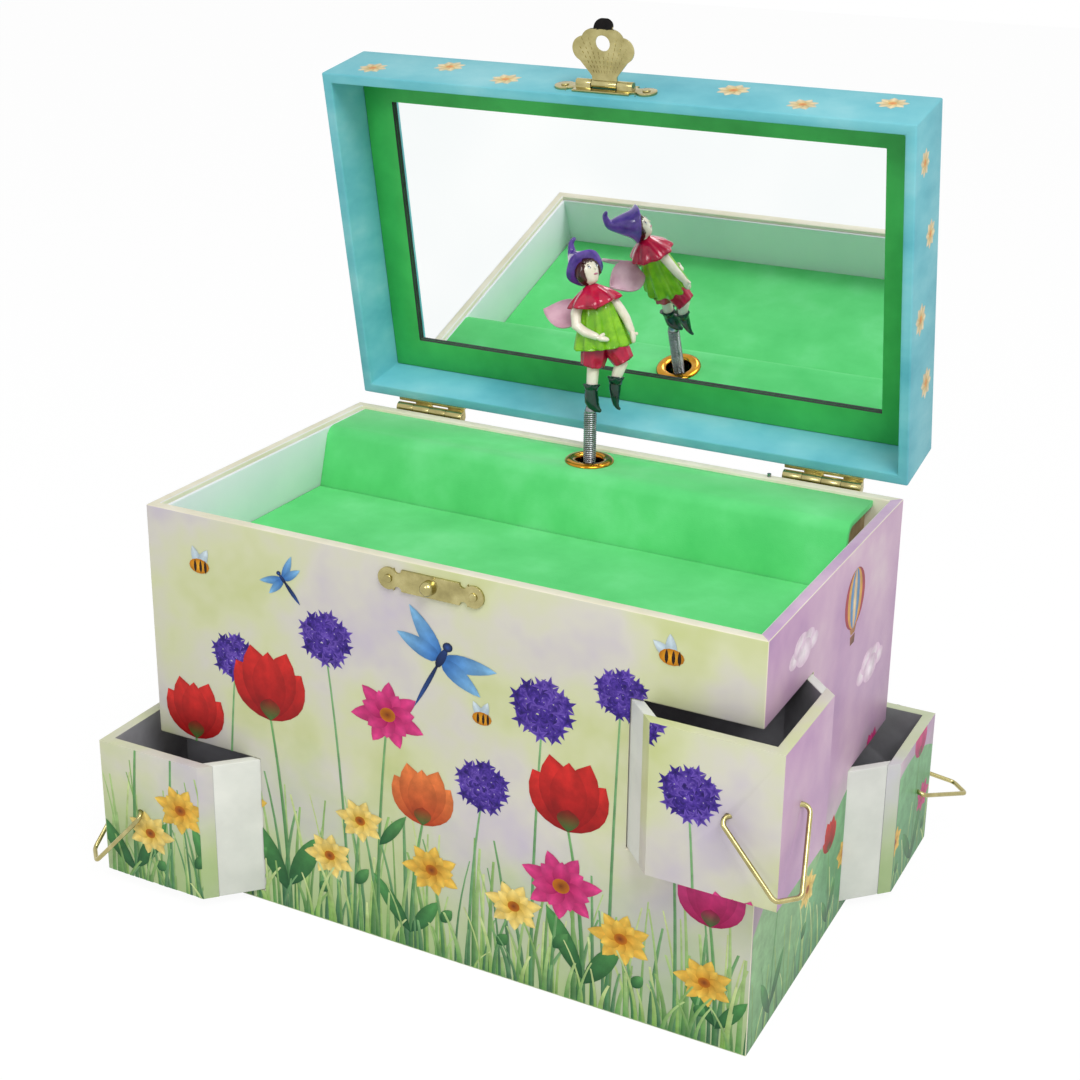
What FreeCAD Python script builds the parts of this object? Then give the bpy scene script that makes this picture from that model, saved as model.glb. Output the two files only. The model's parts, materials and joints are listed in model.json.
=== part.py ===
import FreeCAD
import Part
import math
import os

# Musical jewellery box with a mirrored lid, a turning pixie figure and four corner drawers.
# Millimetres. X runs to the right, -Y is the front and +Z is up, from the middle of the underside.
# The lid stands open and the drawers stand part way out, as the box is shown.

# Carcass
box_width = 210.0
box_depth = 122.5
board = 3.6
bottom_board = 4.0
bay_height = 48.8
shelf_board = 5.0
tray_board = 4.0
tray_depth = 22.5
flock = 1.3
liner = 1.0
liner_drop = 1.4

# Rear ledge that hides the movement
ledge_sheet = 2.0
ledge_foot_from_back = 30.6
ledge_ridge_from_back = 25.2
ledge_drop = 1.1
ledge_ridge_radius = 3.5
ledge_end_gap = 4.5
ledge_rib = 3.0
ledge_rib_inset = 2.5

# Lid, mirror and opening angle
lid_height = 27.0
lid_gap = 0.3
lid_open_angle = 79.56
mat_depth = 18.6
mat_sheet = 1.6
mat_border = 11.4
mirror_glass = 2.0
mirror_lap = 6.0
backing_lap = 1.0
lining_clearance = 0.2

# Butt hinges on the back
hinge_width = 27.5
hinge_spread = 76.0
hinge_leaf = 1.1
hinge_leaf_height = 12.0
hinge_barrel_radius = 2.0
hinge_barrel_stand_off = 0.3
hinge_axis_drop = 0.3
hinge_pin_radius = 0.9
knuckles = 4
knuckle_gap = 0.15
hinge_screw_spread = 14.0

# Small fasteners
screw_radius = 0.9
screw_head_radius = 1.8
screw_head = 0.7
screw_length = 3.0
nail_radius = 0.6
nail_head_radius = 1.3
nail_head = 0.5
nail_length = 3.0
running_clearance = 0.05
fastener_clearance = 0.05

# Shell hasp and its strike plate
clasp_width = 36.0
clasp_sheet = 0.8
clasp_nail_spread = 29.0
strike_height = 7.0
strike_centre_below_rim = 6.3
knob_radius = 2.3
knob_length = 3.6
hasp_plate_height = 8.4
hasp_pivot_above_rim = 7.4
hasp_barrel_radius = 1.5
hasp_barrel_width = 20.0
hasp_neck_half = 4.4
hasp_gap = 0.3
hasp_pin_radius = 0.6
shell_reach = 15.6
shell_half_width = 10.8
shell_lobe_radius = 4.2
hasp_hole_radius = 2.6
tab_root = 17.0
tab_reach = 21.8
tab_half_width = 3.3
tab_turn = 35.0

# Corner drawers, which slide out along the diagonal of their corner
drawer_face = 40.0
drawer_run = 56.0
drawer_wall = 3.0
drawer_floor = 2.5
drawer_side_clearance = 0.3
drawer_height_clearance = 0.3
guide_board = 3.0
guide_overrun = 4.0
front_left_open = 19.8
front_right_open = 14.2
rear_right_open = 19.0
rear_left_open = 0.0

# Wire bails on the drawers
bail_wire_radius = 0.75
bail_hole_clearance = 0.08
bail_inset = 15.5
bail_above_floor = 26.0
bail_reach = 24.8
bail_stand_out = 3.0
bail_tip_half = 4.0
bail_bend = 2.2
bail_tail_past_board = 1.6
front_left_bail_angle = 53.0
front_right_bail_angle = 45.0
rear_right_bail_angle = 20.0
rear_left_bail_angle = 53.0

# Musical movement under the ledge
spindle_x = -2.0
spindle_from_back = 10.65
spindle_radius = 1.5
wheel_below_rim = 38.1
wheel_teeth = 40
pinion_teeth = 10
tooth_module = 0.9
tooth_addendum = 0.75
tooth_dedendum = 1.0
tooth_root_width = 1.2
tooth_tip_width = 0.6
gear_face = 4.0
wheel_rim = 1.6
barrel_radius = 13.0
barrel_length = 13.0
arbor_radius = 2.0
bedplate = 2.5
bedplate_left = 24.0
bedplate_right = 57.0
bedplate_below_axis = 33.0
bedplate_boss_radius = 4.4
bedplate_screw_inset = 4.0
cock_plate = 1.6
cock_clearance = 1.0
bush_radius = 3.2
bush_flange_radius = 4.6
bush_flange = 1.0
bush_above_cock = 5.2
collar_radius = 3.0
collar_length = 1.6
collar_clearance = 0.2
cylinder_radius = 6.5
cylinder_length = 19.8
cylinder_arbor_radius = 1.0
cylinder_pin_radius = 0.2
cylinder_pin_height = 0.35
cylinder_pins_per_track = 3
cylinder_pin_turn = 137.5
cheek = 1.0
cheek_gap = 0.6
cheek_half_height = 3.5
cheek_past_axis = 3.5
comb_sheet = 1.6
comb_teeth = 18
comb_slot = 0.22
comb_tip_clearance = 0.1
comb_height = 22.0
comb_root = 5.5
comb_screw_radius = 1.2
comb_screw_head_radius = 2.2
comb_screw_head = 1.6
governor_width = 11.0
governor_height = 24.0
governor_gap = 2.4
governor_wall_to_shaft = 3.0

# Winding key
key_gap = 0.5
key_hub_radius = 3.4
key_hub_length = 6.0
key_lobe_radius = 6.5
key_lobe_spread = 6.5
key_hole_radius = 2.6
key_sheet = 1.8

# Stop wire, which the closing lid presses down
stop_wire_radius = 0.7
stop_wire_x = 59.0
stop_wire_proud = 1.1
stop_wire_clearance = 0.2
stop_wire_bend = 1.6
stop_wire_above_axis = 5.0
stop_wire_entry = 3.0

# Eyelet, coil spring and figure
eyelet_radius = 8.5
eyelet_hole_radius = 4.7
eyelet_wall = 0.6
eyelet_flange = 1.2
spring_radius = 2.25
spring_wire = 0.7
spring_fit = 0.1
spring_top_above_rim = 16.6
spindle_top_below_rim = 2.1
peg_length = 5.7

# Pixie figure, with heights up from its soles and places across to its left hand
figure_turn = 26.3
figure_lean = 9.0
standing_foot = 0.9
raised_foot = 8.3
boot_height = 8.6
boot_radius = 2.4
toe_radius = 1.5
toe_reach = 3.3
raised_toe_height = 3.0
leg_radius = 2.0
thigh_radius = 2.6
thigh_length = 10.4
hip_radius = 5.0
hem_above_hip = 3.8
hem_radius = 7.4
tunic_length = 12.4
tunic_centre = 4.0
chest_centre = 1.6
chest_radius = 4.6
arm_spread = 5.4
arm_radius = 2.0
elbow_radius = 1.7
hand_radius = 1.5
forearm_drop = 6.0
right_hand_forward = 6.6
cape_above_shoulder = 1.2
cape_radius = 8.1
cape_top_radius = 3.0
cape_rise = 5.0
neck_radius = 2.4
head_above_shoulder = 11.6
head_radius = 4.8
head_centre = -1.7
hat_radius = 5.8
hat_rise = 8.8
hat_lean = 5.3
hat_fall_back = 10.4
hat_tip_radius = 1.2
wing_sheet = 0.8
wing_reach = 17.4
wing_start = 2.0
wing_root = -1.0
wing_root_back = 2.5
wing_below_shoulder = 4.6
wing_half_height = 6.0
wing_tilt = 48.7
right_wing_heading = 207.4
left_wing_heading = 272.5

# Worked out from the sizes above
half_width = box_width / 2
half_depth = box_depth / 2
inner_x = half_width - board
inner_y = half_depth - board
lower_bay = bottom_board
shelf_bottom = lower_bay + bay_height
upper_bay = shelf_bottom + shelf_board
tray_bottom = upper_bay + bay_height
tray_top = tray_bottom + tray_board
rim = tray_top + tray_depth
ledge_top = rim - ledge_drop
hinge_y = half_depth + hinge_leaf + hinge_barrel_stand_off + hinge_barrel_radius
hinge_z = rim - hinge_axis_drop
lid_bottom = rim + lid_gap
lid_top = lid_bottom + lid_height
spindle_y = inner_y - spindle_from_back
axis_z = rim - wheel_below_rim
wheel_radius = wheel_teeth * tooth_module / 2
pinion_radius = pinion_teeth * tooth_module / 2
mesh_y = spindle_y + pinion_radius
root_y = mesh_y + tooth_dedendum
bedplate_y = inner_y - bedplate
wheel_outer = wheel_radius + gear_face / 2
cock_bottom = axis_z + wheel_outer + cock_clearance
cock_top = cock_bottom + cock_plate
bush_top = cock_top + bush_above_cock
spring_bottom = bush_top + collar_clearance + collar_length
spring_top = rim + spring_top_above_rim
cheek_left = spindle_x + wheel_radius + gear_face / 2 + cheek_gap
cylinder_left = cheek_left + cheek + cheek_gap
cylinder_right = cylinder_left + cylinder_length
cheek_right = cylinder_right + cheek_gap
governor_left = cheek_right + cheek + governor_gap
strip_span = drawer_face - drawer_side_clearance * math.sqrt(2)
wall_span = drawer_wall * math.sqrt(2)
run_sum = drawer_run * math.sqrt(2)
ledge_foot_y = inner_y - ledge_foot_from_back
ledge_ridge_y = inner_y - ledge_ridge_from_back
ledge_left = -inner_x + liner
ledge_right = inner_x - liner - ledge_end_gap
mat_z = lid_bottom + mat_depth
mirror_z = mat_z + mat_sheet
backing_z = mirror_z + mirror_glass
mat_x = inner_x - lining_clearance
mat_y = inner_y - lining_clearance
window_x = inner_x - mat_border
window_y = inner_y - mat_border
knuckle = hinge_width / knuckles
base_leaf_top = hinge_z - hinge_barrel_radius + hinge_leaf
lid_leaf_bottom = hinge_z + hinge_barrel_radius - hinge_leaf
base_screw_z = base_leaf_top - hinge_leaf_height / 2
lid_screw_z = lid_leaf_bottom + hinge_leaf_height / 2
strike_z = rim - strike_centre_below_rim
hasp_z = rim + hasp_pivot_above_rim
clasp_y = -half_depth - clasp_sheet
hasp_y = -half_depth - hasp_barrel_radius - hasp_gap
knob_z = hasp_z - (shell_reach - shell_lobe_radius / 2)
comb_top = axis_z - cylinder_radius - cylinder_pin_height - comb_tip_clearance
comb_low = comb_top - comb_height
stop_wire_y = inner_y + board / 2
ankle_height = boot_height
hip_height = ankle_height + thigh_length
hem_height = hip_height + hem_above_hip
shoulder_height = hem_height + tunic_length
head_height = shoulder_height + head_above_shoulder


def vec(x, y, z):
    return FreeCAD.Vector(x, y, z)


def block(x0, x1, y0, y1, z0, z1):
    return Part.makeBox(x1 - x0, y1 - y0, z1 - z0, vec(x0, y0, z0))


def rod(start, direction, radius, length):
    return Part.makeCylinder(radius, length, start, direction)


def face_of(points):
    return Part.Face(Part.makePolygon(points + [points[0]]))


def prism(points, z0, z1):
    area = 0.0
    for here, after in zip(points, points[1:] + points[:1]):
        area += here[0] * after[1] - after[0] * here[1]
    ordered = points if area > 0 else points[::-1]
    return face_of([vec(x, y, z0) for x, y in ordered]).extrude(vec(0, 0, z1 - z0))


def profile_along_x(points, x0, x1):
    return face_of([vec(x0, y, z) for y, z in points]).extrude(vec(x1 - x0, 0, 0))


def joined(shapes):
    if len(shapes) == 1:
        return shapes[0]
    return shapes[0].multiFuse(shapes[1:]).removeSplitter()


def group(shapes):
    return Part.makeCompound(shapes)


def revolved(points, centre_x, centre_y):
    outline = face_of([vec(centre_x + r, centre_y, z) for r, z in points])
    return outline.revolve(vec(centre_x, centre_y, 0), vec(0, 0, 1), 360)


def bent_rod(points, bend, radius):
    """Round wire along straight runs joined by tangent arcs of one bend radius."""
    edges = []
    start = points[0]
    for before, corner, after in zip(points, points[1:], points[2:]):
        back = (before - corner).normalize()
        ahead = (after - corner).normalize()
        half_turn = (math.pi - back.getAngle(ahead)) / 2
        trim = bend * math.tan(half_turn)
        arc_in = corner + back * trim
        arc_out = corner + ahead * trim
        middle_way = (back + ahead).normalize()
        arc_mid = corner + middle_way * (bend / math.cos(half_turn) - bend)
        edges.append(Part.LineSegment(start, arc_in).toShape())
        edges.append(Part.Arc(arc_in, arc_mid, arc_out).toShape())
        start = arc_out
    edges.append(Part.LineSegment(start, points[-1]).toShape())
    path = Part.Wire(edges)
    circle = Part.Wire(Part.Circle(points[0], points[1] - points[0], radius).toShape())
    return path.makePipeShell([circle], True, False)


def save(name, shape):
    shape.exportStep("parts/" + name + ".step")


# Corner places: u runs along X and v along Y, both inwards from the corner
class Corner:
    def __init__(self, name, side, end, bay, opened, bail_angle):
        self.name = name
        self.side = side
        self.end = end
        self.bay = bay
        self.opened = opened
        self.bail_angle = bail_angle

    def at(self, u, v):
        return (self.side * (half_width - u), self.end * (half_depth - v))

    def outline(self, pairs):
        return [self.at(u, v) for u, v in pairs]

    def out(self):
        return vec(self.side, self.end, 0).normalize()

    def slide(self, shape):
        shape.translate(self.out() * self.opened)
        return shape


corners = [
    Corner("front_left", -1, -1, lower_bay, front_left_open, front_left_bail_angle),
    Corner("front_right", 1, -1, upper_bay, front_right_open, front_right_bail_angle),
    Corner("rear_right", 1, 1, lower_bay, rear_right_open, rear_right_bail_angle),
    Corner("rear_left", -1, 1, upper_bay, rear_left_open, rear_left_bail_angle),
]


def drawer_passage(corner):
    """The diagonal strip that a drawer slides through."""
    outline = [(-board, -board), (drawer_face - board, -board), (drawer_face + board, board)]
    outline += [(board, drawer_face + board), (-board, drawer_face - board)]
    return prism(corner.outline(outline), corner.bay, corner.bay + bay_height)


def cut_passages(shape):
    for corner in corners:
        shape = shape.cut(drawer_passage(corner))
    return shape


# Carcass
def hinge_centres():
    return [-hinge_spread, hinge_spread]


def hinge_screw_xs():
    return [centre + side * hinge_screw_spread / 2 for centre in hinge_centres() for side in (-1, 1)]


def bedplate_screw_places():
    left = spindle_x - bedplate_left + bedplate_screw_inset
    right = spindle_x + bedplate_left - bedplate_screw_inset
    low = axis_z - bedplate_below_axis + bedplate_screw_inset
    high = cock_top - bedplate_screw_inset
    return [(left, low), (bedplate_right - bedplate_screw_inset, low), (left, high), (right, high)]


def front_board():
    shape = block(-half_width, half_width, -half_depth, -inner_y, 0, rim)
    return cut_passages(shape).cut(group(nail_holes(clasp_nail_places(strike_z), -half_depth, 1)))


def back_board():
    shape = cut_passages(block(-half_width, half_width, inner_y, half_depth, 0, rim))
    boss_hole = bedplate_boss_radius + lining_clearance
    shape = shape.cut(rod(vec(spindle_x, inner_y, axis_z), vec(0, 1, 0), boss_hole, board))
    hole = screw_radius + fastener_clearance
    for x, z in bedplate_screw_places():
        shape = shape.cut(rod(vec(x, inner_y, z), vec(0, 1, 0), hole, screw_length))
    for x in hinge_screw_xs():
        shape = shape.cut(rod(vec(x, half_depth, base_screw_z), vec(0, -1, 0), hole, screw_length))
    groove = stop_wire_radius + stop_wire_clearance
    low = axis_z + stop_wire_above_axis - groove - stop_wire_proud - stop_wire_clearance
    left = stop_wire_x - groove
    return shape.cut(block(left, left + 2 * groove, inner_y, stop_wire_y + groove, low, rim))


def side_board(side):
    inner, outer = sorted((side * inner_x, side * half_width))
    return cut_passages(block(inner, outer, -inner_y, inner_y, 0, rim))


def tray_floor():
    shape = block(-inner_x, inner_x, -inner_y, inner_y, tray_bottom, tray_top)
    left = spindle_x - bedplate_left - cock_clearance
    right = bedplate_right + cock_clearance
    front = spindle_y - barrel_radius
    return shape.cut(block(left, right, front, inner_y, tray_bottom, tray_top))


def ledge_solid(inset, x0, x1, ridge_radius):
    lean = (ledge_ridge_y - ledge_foot_y) / (ledge_top - tray_top)
    along = inset * math.sqrt(1 + lean * lean)
    top = ledge_top - inset
    foot = ledge_foot_y + along
    ridge = foot + lean * (top - tray_top)
    shape = profile_along_x([(foot, tray_top), (ridge, top), (inner_y, top), (inner_y, tray_top)], x0, x1)
    ridge_edges = []
    for edge in shape.Edges:
        middle = edge.CenterOfMass
        if abs(middle.y - ridge) < 0.01 and abs(middle.z - top) < 0.01:
            ridge_edges.append(edge)
    return shape.makeFillet(ridge_radius, ridge_edges)


def ledge_cover():
    inner_ridge = ledge_ridge_radius - ledge_sheet
    shape = ledge_solid(0, ledge_left, ledge_right, ledge_ridge_radius)
    shape = shape.cut(ledge_solid(ledge_sheet, ledge_left, ledge_right, inner_ridge))
    neck = eyelet_hole_radius + eyelet_wall + fastener_clearance
    return shape.cut(rod(vec(spindle_x, spindle_y, tray_top), vec(0, 0, 1), neck, rim - tray_top))


def ledge_ribs():
    inner_ridge = ledge_ridge_radius - ledge_sheet
    left = ledge_left + ledge_rib_inset
    right = ledge_right - ledge_rib_inset - ledge_rib
    return group([ledge_solid(ledge_sheet, x, x + ledge_rib, inner_ridge) for x in (left, right)])


def eyelet():
    top = ledge_top + eyelet_flange
    under = ledge_top - ledge_sheet
    outer = eyelet_hole_radius + eyelet_wall
    outline = [(eyelet_hole_radius, top - eyelet_flange / 2), (outer, top)]
    outline += [(eyelet_radius - eyelet_wall, top), (eyelet_radius, ledge_top + eyelet_flange / 4)]
    outline += [(eyelet_radius, ledge_top), (outer, ledge_top), (outer, under)]
    outline += [(outer + eyelet_wall * 2, under), (outer + eyelet_wall, under - eyelet_wall)]
    outline += [(eyelet_hole_radius, under - eyelet_wall)]
    return revolved(outline, spindle_x, spindle_y)


def tray_flock():
    edge_x = inner_x - liner
    return block(-edge_x, edge_x, -inner_y + liner, ledge_foot_y, tray_top, tray_top + flock)


def tray_liners():
    top = rim - liner_drop
    edge_x = inner_x - liner
    front = block(-inner_x, inner_x, -inner_y, -inner_y + liner, tray_top, top)
    left = block(-inner_x, -edge_x, -inner_y + liner, inner_y, tray_top, top)
    right = block(edge_x, inner_x, -inner_y + liner, inner_y, tray_top, top)
    return group([front, left, right])


def drawer_guides():
    near = drawer_face
    far = near + guide_board * math.sqrt(2)
    end = run_sum + guide_overrun
    boards = []
    for corner in corners:
        outline = [(near + board, board), (far + board, board)]
        outline += [((end + far) / 2, (end - far) / 2), ((end + near) / 2, (end - near) / 2)]
        mirrored = [(v, u) for u, v in outline]
        for pairs in (outline, mirrored):
            boards.append(prism(corner.outline(pairs), corner.bay, corner.bay + bay_height))
    return group(boards)


# Corner drawers
def bail_frame(corner):
    along = vec(corner.side, -corner.end, 0).normalize()
    inwards = bail_inset / 2
    x, y = corner.at(inwards, inwards)
    return vec(x, y, corner.bay + bail_above_floor), along


def bail_holes(corner):
    centre, along = bail_frame(corner)
    span = bail_inset * math.sqrt(2) + 2 * board * math.sqrt(2)
    return rod(centre - along * span / 2, along, bail_wire_radius + bail_hole_clearance, span)


def drawer_levels(corner):
    return corner.bay + drawer_height_clearance, corner.bay + bay_height - drawer_height_clearance


def drawer_faces(corner):
    low, high = drawer_levels(corner)
    end = strip_span
    outline = [(0, 0), (end, 0), (end + board, board), (board, board), (board, end + board), (0, end)]
    shape = prism(corner.outline(outline), low, high).cut(bail_holes(corner))
    return corner.slide(shape)


def drawer_walls(corner):
    low, high = drawer_levels(corner)
    outer = strip_span
    inner = outer - wall_span
    back = run_sum - wall_span
    right = [(inner + board, board), (outer + board, board), ((run_sum + outer) / 2, (run_sum - outer) / 2)]
    left = [(v, u) for u, v in right[::-1]]
    inside = [((back - inner) / 2, (back + inner) / 2), ((back + inner) / 2, (back - inner) / 2)]
    return corner.slide(prism(corner.outline(right + left + inside), low, high))


def drawer_base(corner):
    low, high = drawer_levels(corner)
    inner = strip_span - wall_span
    back = run_sum - wall_span
    outline = [(board, board), (inner + board, board), ((back + inner) / 2, (back - inner) / 2)]
    outline += [((back - inner) / 2, (back + inner) / 2), (board, inner + board)]
    return corner.slide(prism(corner.outline(outline), low, low + drawer_floor))


def drawer_bail(corner):
    centre, along = bail_frame(corner)
    drop = math.radians(corner.bail_angle)
    hang = corner.out() * math.cos(drop) - vec(0, 0, math.sin(drop))
    half = bail_inset / math.sqrt(2)
    tail = half - board * math.sqrt(2) - bail_tail_past_board
    end = half + bail_stand_out
    places = [(-tail, 0), (-end, 0), (-bail_tip_half, bail_reach)]
    places += [(-a, length) for a, length in places[::-1]]
    points = [centre + along * a + hang * length for a, length in places]
    return corner.slide(bent_rod(points, bail_bend, bail_wire_radius))


# Lid, built closed and then turned open about the hinge axis
def opened(shape):
    shape.rotate(vec(0, hinge_y, hinge_z), vec(1, 0, 0), -lid_open_angle)
    return shape


def lid_panel():
    return block(-half_width, half_width, -half_depth, half_depth, lid_top - board, lid_top)


def lid_front_rail():
    shape = block(-half_width, half_width, -half_depth, -inner_y, lid_bottom, lid_top - board)
    return shape.cut(group(nail_holes(clasp_nail_places(hasp_z), -half_depth, 1)))


def lid_back_rail():
    shape = block(-half_width, half_width, inner_y, half_depth, lid_bottom, lid_top - board)
    hole = screw_radius + fastener_clearance
    for x in hinge_screw_xs():
        shape = shape.cut(rod(vec(x, half_depth, lid_screw_z), vec(0, -1, 0), hole, screw_length))
    return shape


def lid_side_rails():
    rails = []
    for x in (-half_width, inner_x):
        rails.append(block(x, x + board, -inner_y, inner_y, lid_bottom, lid_top - board))
    return group(rails)


def mirror_mat():
    shape = block(-mat_x, mat_x, -mat_y, mat_y, mat_z, mirror_z)
    return shape.cut(block(-window_x, window_x, -window_y, window_y, mat_z, mirror_z))


def mirror():
    x = window_x + mirror_lap
    y = window_y + mirror_lap
    return block(-x, x, -y, y, mirror_z, backing_z)


def mirror_backing():
    x = mat_x - backing_lap
    y = mat_y - backing_lap
    return block(-x, x, -y, y, backing_z, lid_top - board)


# Butt hinges
def hinge_knuckles(centre, first, tongue_low, tongue_high):
    pieces = []
    for number in range(first, knuckles, 2):
        left = centre - hinge_width / 2 + number * knuckle + knuckle_gap / 2
        right = left + knuckle - knuckle_gap
        pieces.append(rod(vec(left, hinge_y, hinge_z), vec(1, 0, 0), hinge_barrel_radius, right - left))
        pieces.append(block(left, right, half_depth, hinge_y, tongue_low, tongue_high))
    return pieces


def hinge_leaf_pair(first, plate_low, plate_high, tongue_low, screw_z):
    leaves = []
    for centre in hinge_centres():
        left = centre - hinge_width / 2
        plate = block(left, left + hinge_width, half_depth, half_depth + hinge_leaf, plate_low, plate_high)
        leaf = joined([plate] + hinge_knuckles(centre, first, tongue_low, tongue_low + hinge_leaf))
        bore = hinge_pin_radius + running_clearance
        leaf = leaf.cut(rod(vec(left, hinge_y, hinge_z), vec(1, 0, 0), bore, hinge_width))
        for side in (-1, 1):
            place = vec(centre + side * hinge_screw_spread / 2, half_depth, screw_z)
            leaf = leaf.cut(rod(place, vec(0, 1, 0), screw_radius + fastener_clearance, hinge_leaf))
        leaves.append(leaf)
    return group(leaves)


def hinge_base_leaves():
    low = base_leaf_top - hinge_leaf_height
    return hinge_leaf_pair(0, low, base_leaf_top, base_leaf_top - hinge_leaf, base_screw_z)


def hinge_lid_leaves():
    high = lid_leaf_bottom + hinge_leaf_height
    return hinge_leaf_pair(1, lid_leaf_bottom, high, lid_leaf_bottom, lid_screw_z)


def hinge_pins():
    left = -hinge_width / 2
    return group([rod(vec(c + left, hinge_y, hinge_z), vec(1, 0, 0), hinge_pin_radius, hinge_width)
                  for c in hinge_centres()])


def headed(place, direction, head_radius, head, radius, length):
    shank = rod(place, direction, radius, length)
    dome = rod(place - direction * head, direction, head_radius, head)
    rim_edges = [e for e in dome.Edges if e.Closed and (e.CenterOfMass - place).Length > head / 2]
    dome = dome.makeFillet(head * 0.6, rim_edges)
    return joined([shank, dome])


def screw(place, direction, length):
    return headed(place, direction, screw_head_radius, screw_head, screw_radius, length)


def hinge_screws(z):
    y = half_depth + hinge_leaf
    return group([screw(vec(x, y, z), vec(0, -1, 0), screw_length) for x in hinge_screw_xs()])


# Clasp
def clasp_nail_places(z):
    return [(side * clasp_nail_spread / 2, z) for side in (-1, 1)]


def nail_holes(places, y, direction):
    hole = nail_radius + fastener_clearance
    return [rod(vec(x, y, z), vec(0, direction, 0), hole, nail_length) for x, z in places]


def nails(z):
    length = nail_length + clasp_sheet - fastener_clearance
    return group([headed(vec(x, clasp_y, z), vec(0, 1, 0), nail_head_radius, nail_head, nail_radius, length)
                  for x, z in clasp_nail_places(z)])


def lobed_plate(z, height):
    lobe = height / 2
    middle = clasp_nail_spread / 2 - lobe / 2
    plate = block(-middle, middle, clasp_y, -half_depth, z - height / 2, z + height / 2)
    ends = [rod(vec(x, clasp_y, z), vec(0, 1, 0), clasp_width / 2 - clasp_nail_spread / 2, clasp_sheet)
            for x, z in clasp_nail_places(z)]
    holes = [rod(vec(x, clasp_y, z), vec(0, 1, 0), nail_radius + fastener_clearance, clasp_sheet)
             for x, z in clasp_nail_places(z)]
    return joined([plate] + ends).cut(group(holes))


def strike_plate():
    stem = rod(vec(0, clasp_y, knob_z), vec(0, -1, 0), knob_radius, knob_length)
    rim_edges = [e for e in stem.Edges if e.Closed and e.CenterOfMass.y < clasp_y - knob_length / 2]
    knob = stem.makeFillet(knob_radius * 0.8, rim_edges)
    return joined([lobed_plate(strike_z, strike_height), knob])


def hasp_plate():
    half = hasp_barrel_width / 2
    slot = hasp_neck_half + hasp_gap
    opening = hasp_barrel_radius + hasp_gap
    plate = lobed_plate(hasp_z, hasp_plate_height)
    barrel = rod(vec(-half, hasp_y, hasp_z), vec(1, 0, 0), hasp_barrel_radius, hasp_barrel_width)
    seat = block(-half, half, hasp_y, -half_depth, hasp_z - hasp_barrel_radius, hasp_z + hasp_barrel_radius)
    gap = block(-slot, slot, hasp_y - opening, -half_depth, hasp_z - opening, hasp_z + opening)
    barrel = barrel.fuse(seat).cut(gap)
    bore_radius = hasp_pin_radius + running_clearance
    bore = rod(vec(-half, hasp_y, hasp_z), vec(1, 0, 0), bore_radius, hasp_barrel_width)
    return joined([plate.cut(gap), barrel]).cut(bore)


def hasp_pin():
    half = hasp_barrel_width / 2
    return rod(vec(-half, hasp_y, hasp_z), vec(1, 0, 0), hasp_pin_radius, hasp_barrel_width)


def hasp_flap():
    """The shell flap, standing straight out from the lid's front face."""
    low = hasp_z - clasp_sheet / 2
    shoulder = hasp_y - shell_reach + shell_lobe_radius
    half = shell_half_width - shell_lobe_radius
    flare = hasp_y - 2 * hasp_barrel_radius
    right_side = [(hasp_neck_half, hasp_y), (hasp_neck_half, flare), (half, shoulder)]
    left_side = [(-x, y) for x, y in right_side[::-1]]
    pieces = [prism(right_side + left_side, low, low + clasp_sheet)]
    for turn in range(-2, 3):
        x = half * turn / 2
        y = shoulder - (shell_lobe_radius * 0.6 if abs(turn) < 2 else 0)
        pieces.append(rod(vec(x, y, low), vec(0, 0, 1), shell_lobe_radius, clasp_sheet))
    root = hasp_y - tab_root
    lip = block(-tab_half_width, tab_half_width, hasp_y - tab_reach, root, low, low + clasp_sheet)
    tip = hasp_y - tab_reach
    upright = [e for e in lip.Edges if e.BoundBox.XLength < 0.01 and e.BoundBox.YLength < 0.01]
    outer = [e for e in upright if abs(e.CenterOfMass.y - tip) < 0.01]
    lip = lip.makeFillet(tab_half_width * 0.8, outer)
    lip.rotate(vec(0, root, low), vec(1, 0, 0), -tab_turn)
    pieces.append(lip)
    barrel_end = vec(-hasp_neck_half, hasp_y, hasp_z)
    barrel_length = 2 * hasp_neck_half
    pieces.append(rod(barrel_end, vec(1, 0, 0), hasp_barrel_radius, barrel_length))
    flap = joined(pieces)
    bore = rod(barrel_end, vec(1, 0, 0), hasp_pin_radius + running_clearance, barrel_length)
    hole = rod(vec(0, hasp_y - (hasp_z - knob_z), low), vec(0, 0, 1), hasp_hole_radius, clasp_sheet)
    return flap.cut(bore).cut(hole)


# Movement
def tooth(root, tip, height, length):
    """A tooth standing on the X axis, its root below zero, running along Y from zero."""
    points = [vec(-root / 2, 0, 0), vec(root / 2, 0, 0), vec(tip / 2, 0, height), vec(-tip / 2, 0, height)]
    return face_of(points).extrude(vec(0, length, 0))


def pinion(length):
    """A pinion about Z from z = 0, with a gap between teeth facing +Y."""
    root = pinion_radius - tooth_dedendum
    height = tooth_addendum + tooth_dedendum
    pieces = [Part.makeCylinder(root, length)]
    sink = root - math.sqrt(root * root - tooth_root_width * tooth_root_width / 4) + fastener_clearance
    for number in range(pinion_teeth):
        one = tooth(tooth_root_width, tooth_tip_width, height + sink, length)
        one.rotate(vec(0, 0, 0), vec(1, 0, 0), 90)
        one.rotate(vec(0, 0, 0), vec(0, 0, 1), 180)
        one.translate(vec(0, root - sink, 0))
        one.translate(vec(0, 0, 0) - vec(0, 0, one.BoundBox.ZMin))
        one.rotate(vec(0, 0, 0), vec(0, 0, 1), 180 + (number + 0.5) * 360 / pinion_teeth)
        pieces.append(one)
    return joined(pieces)


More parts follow.
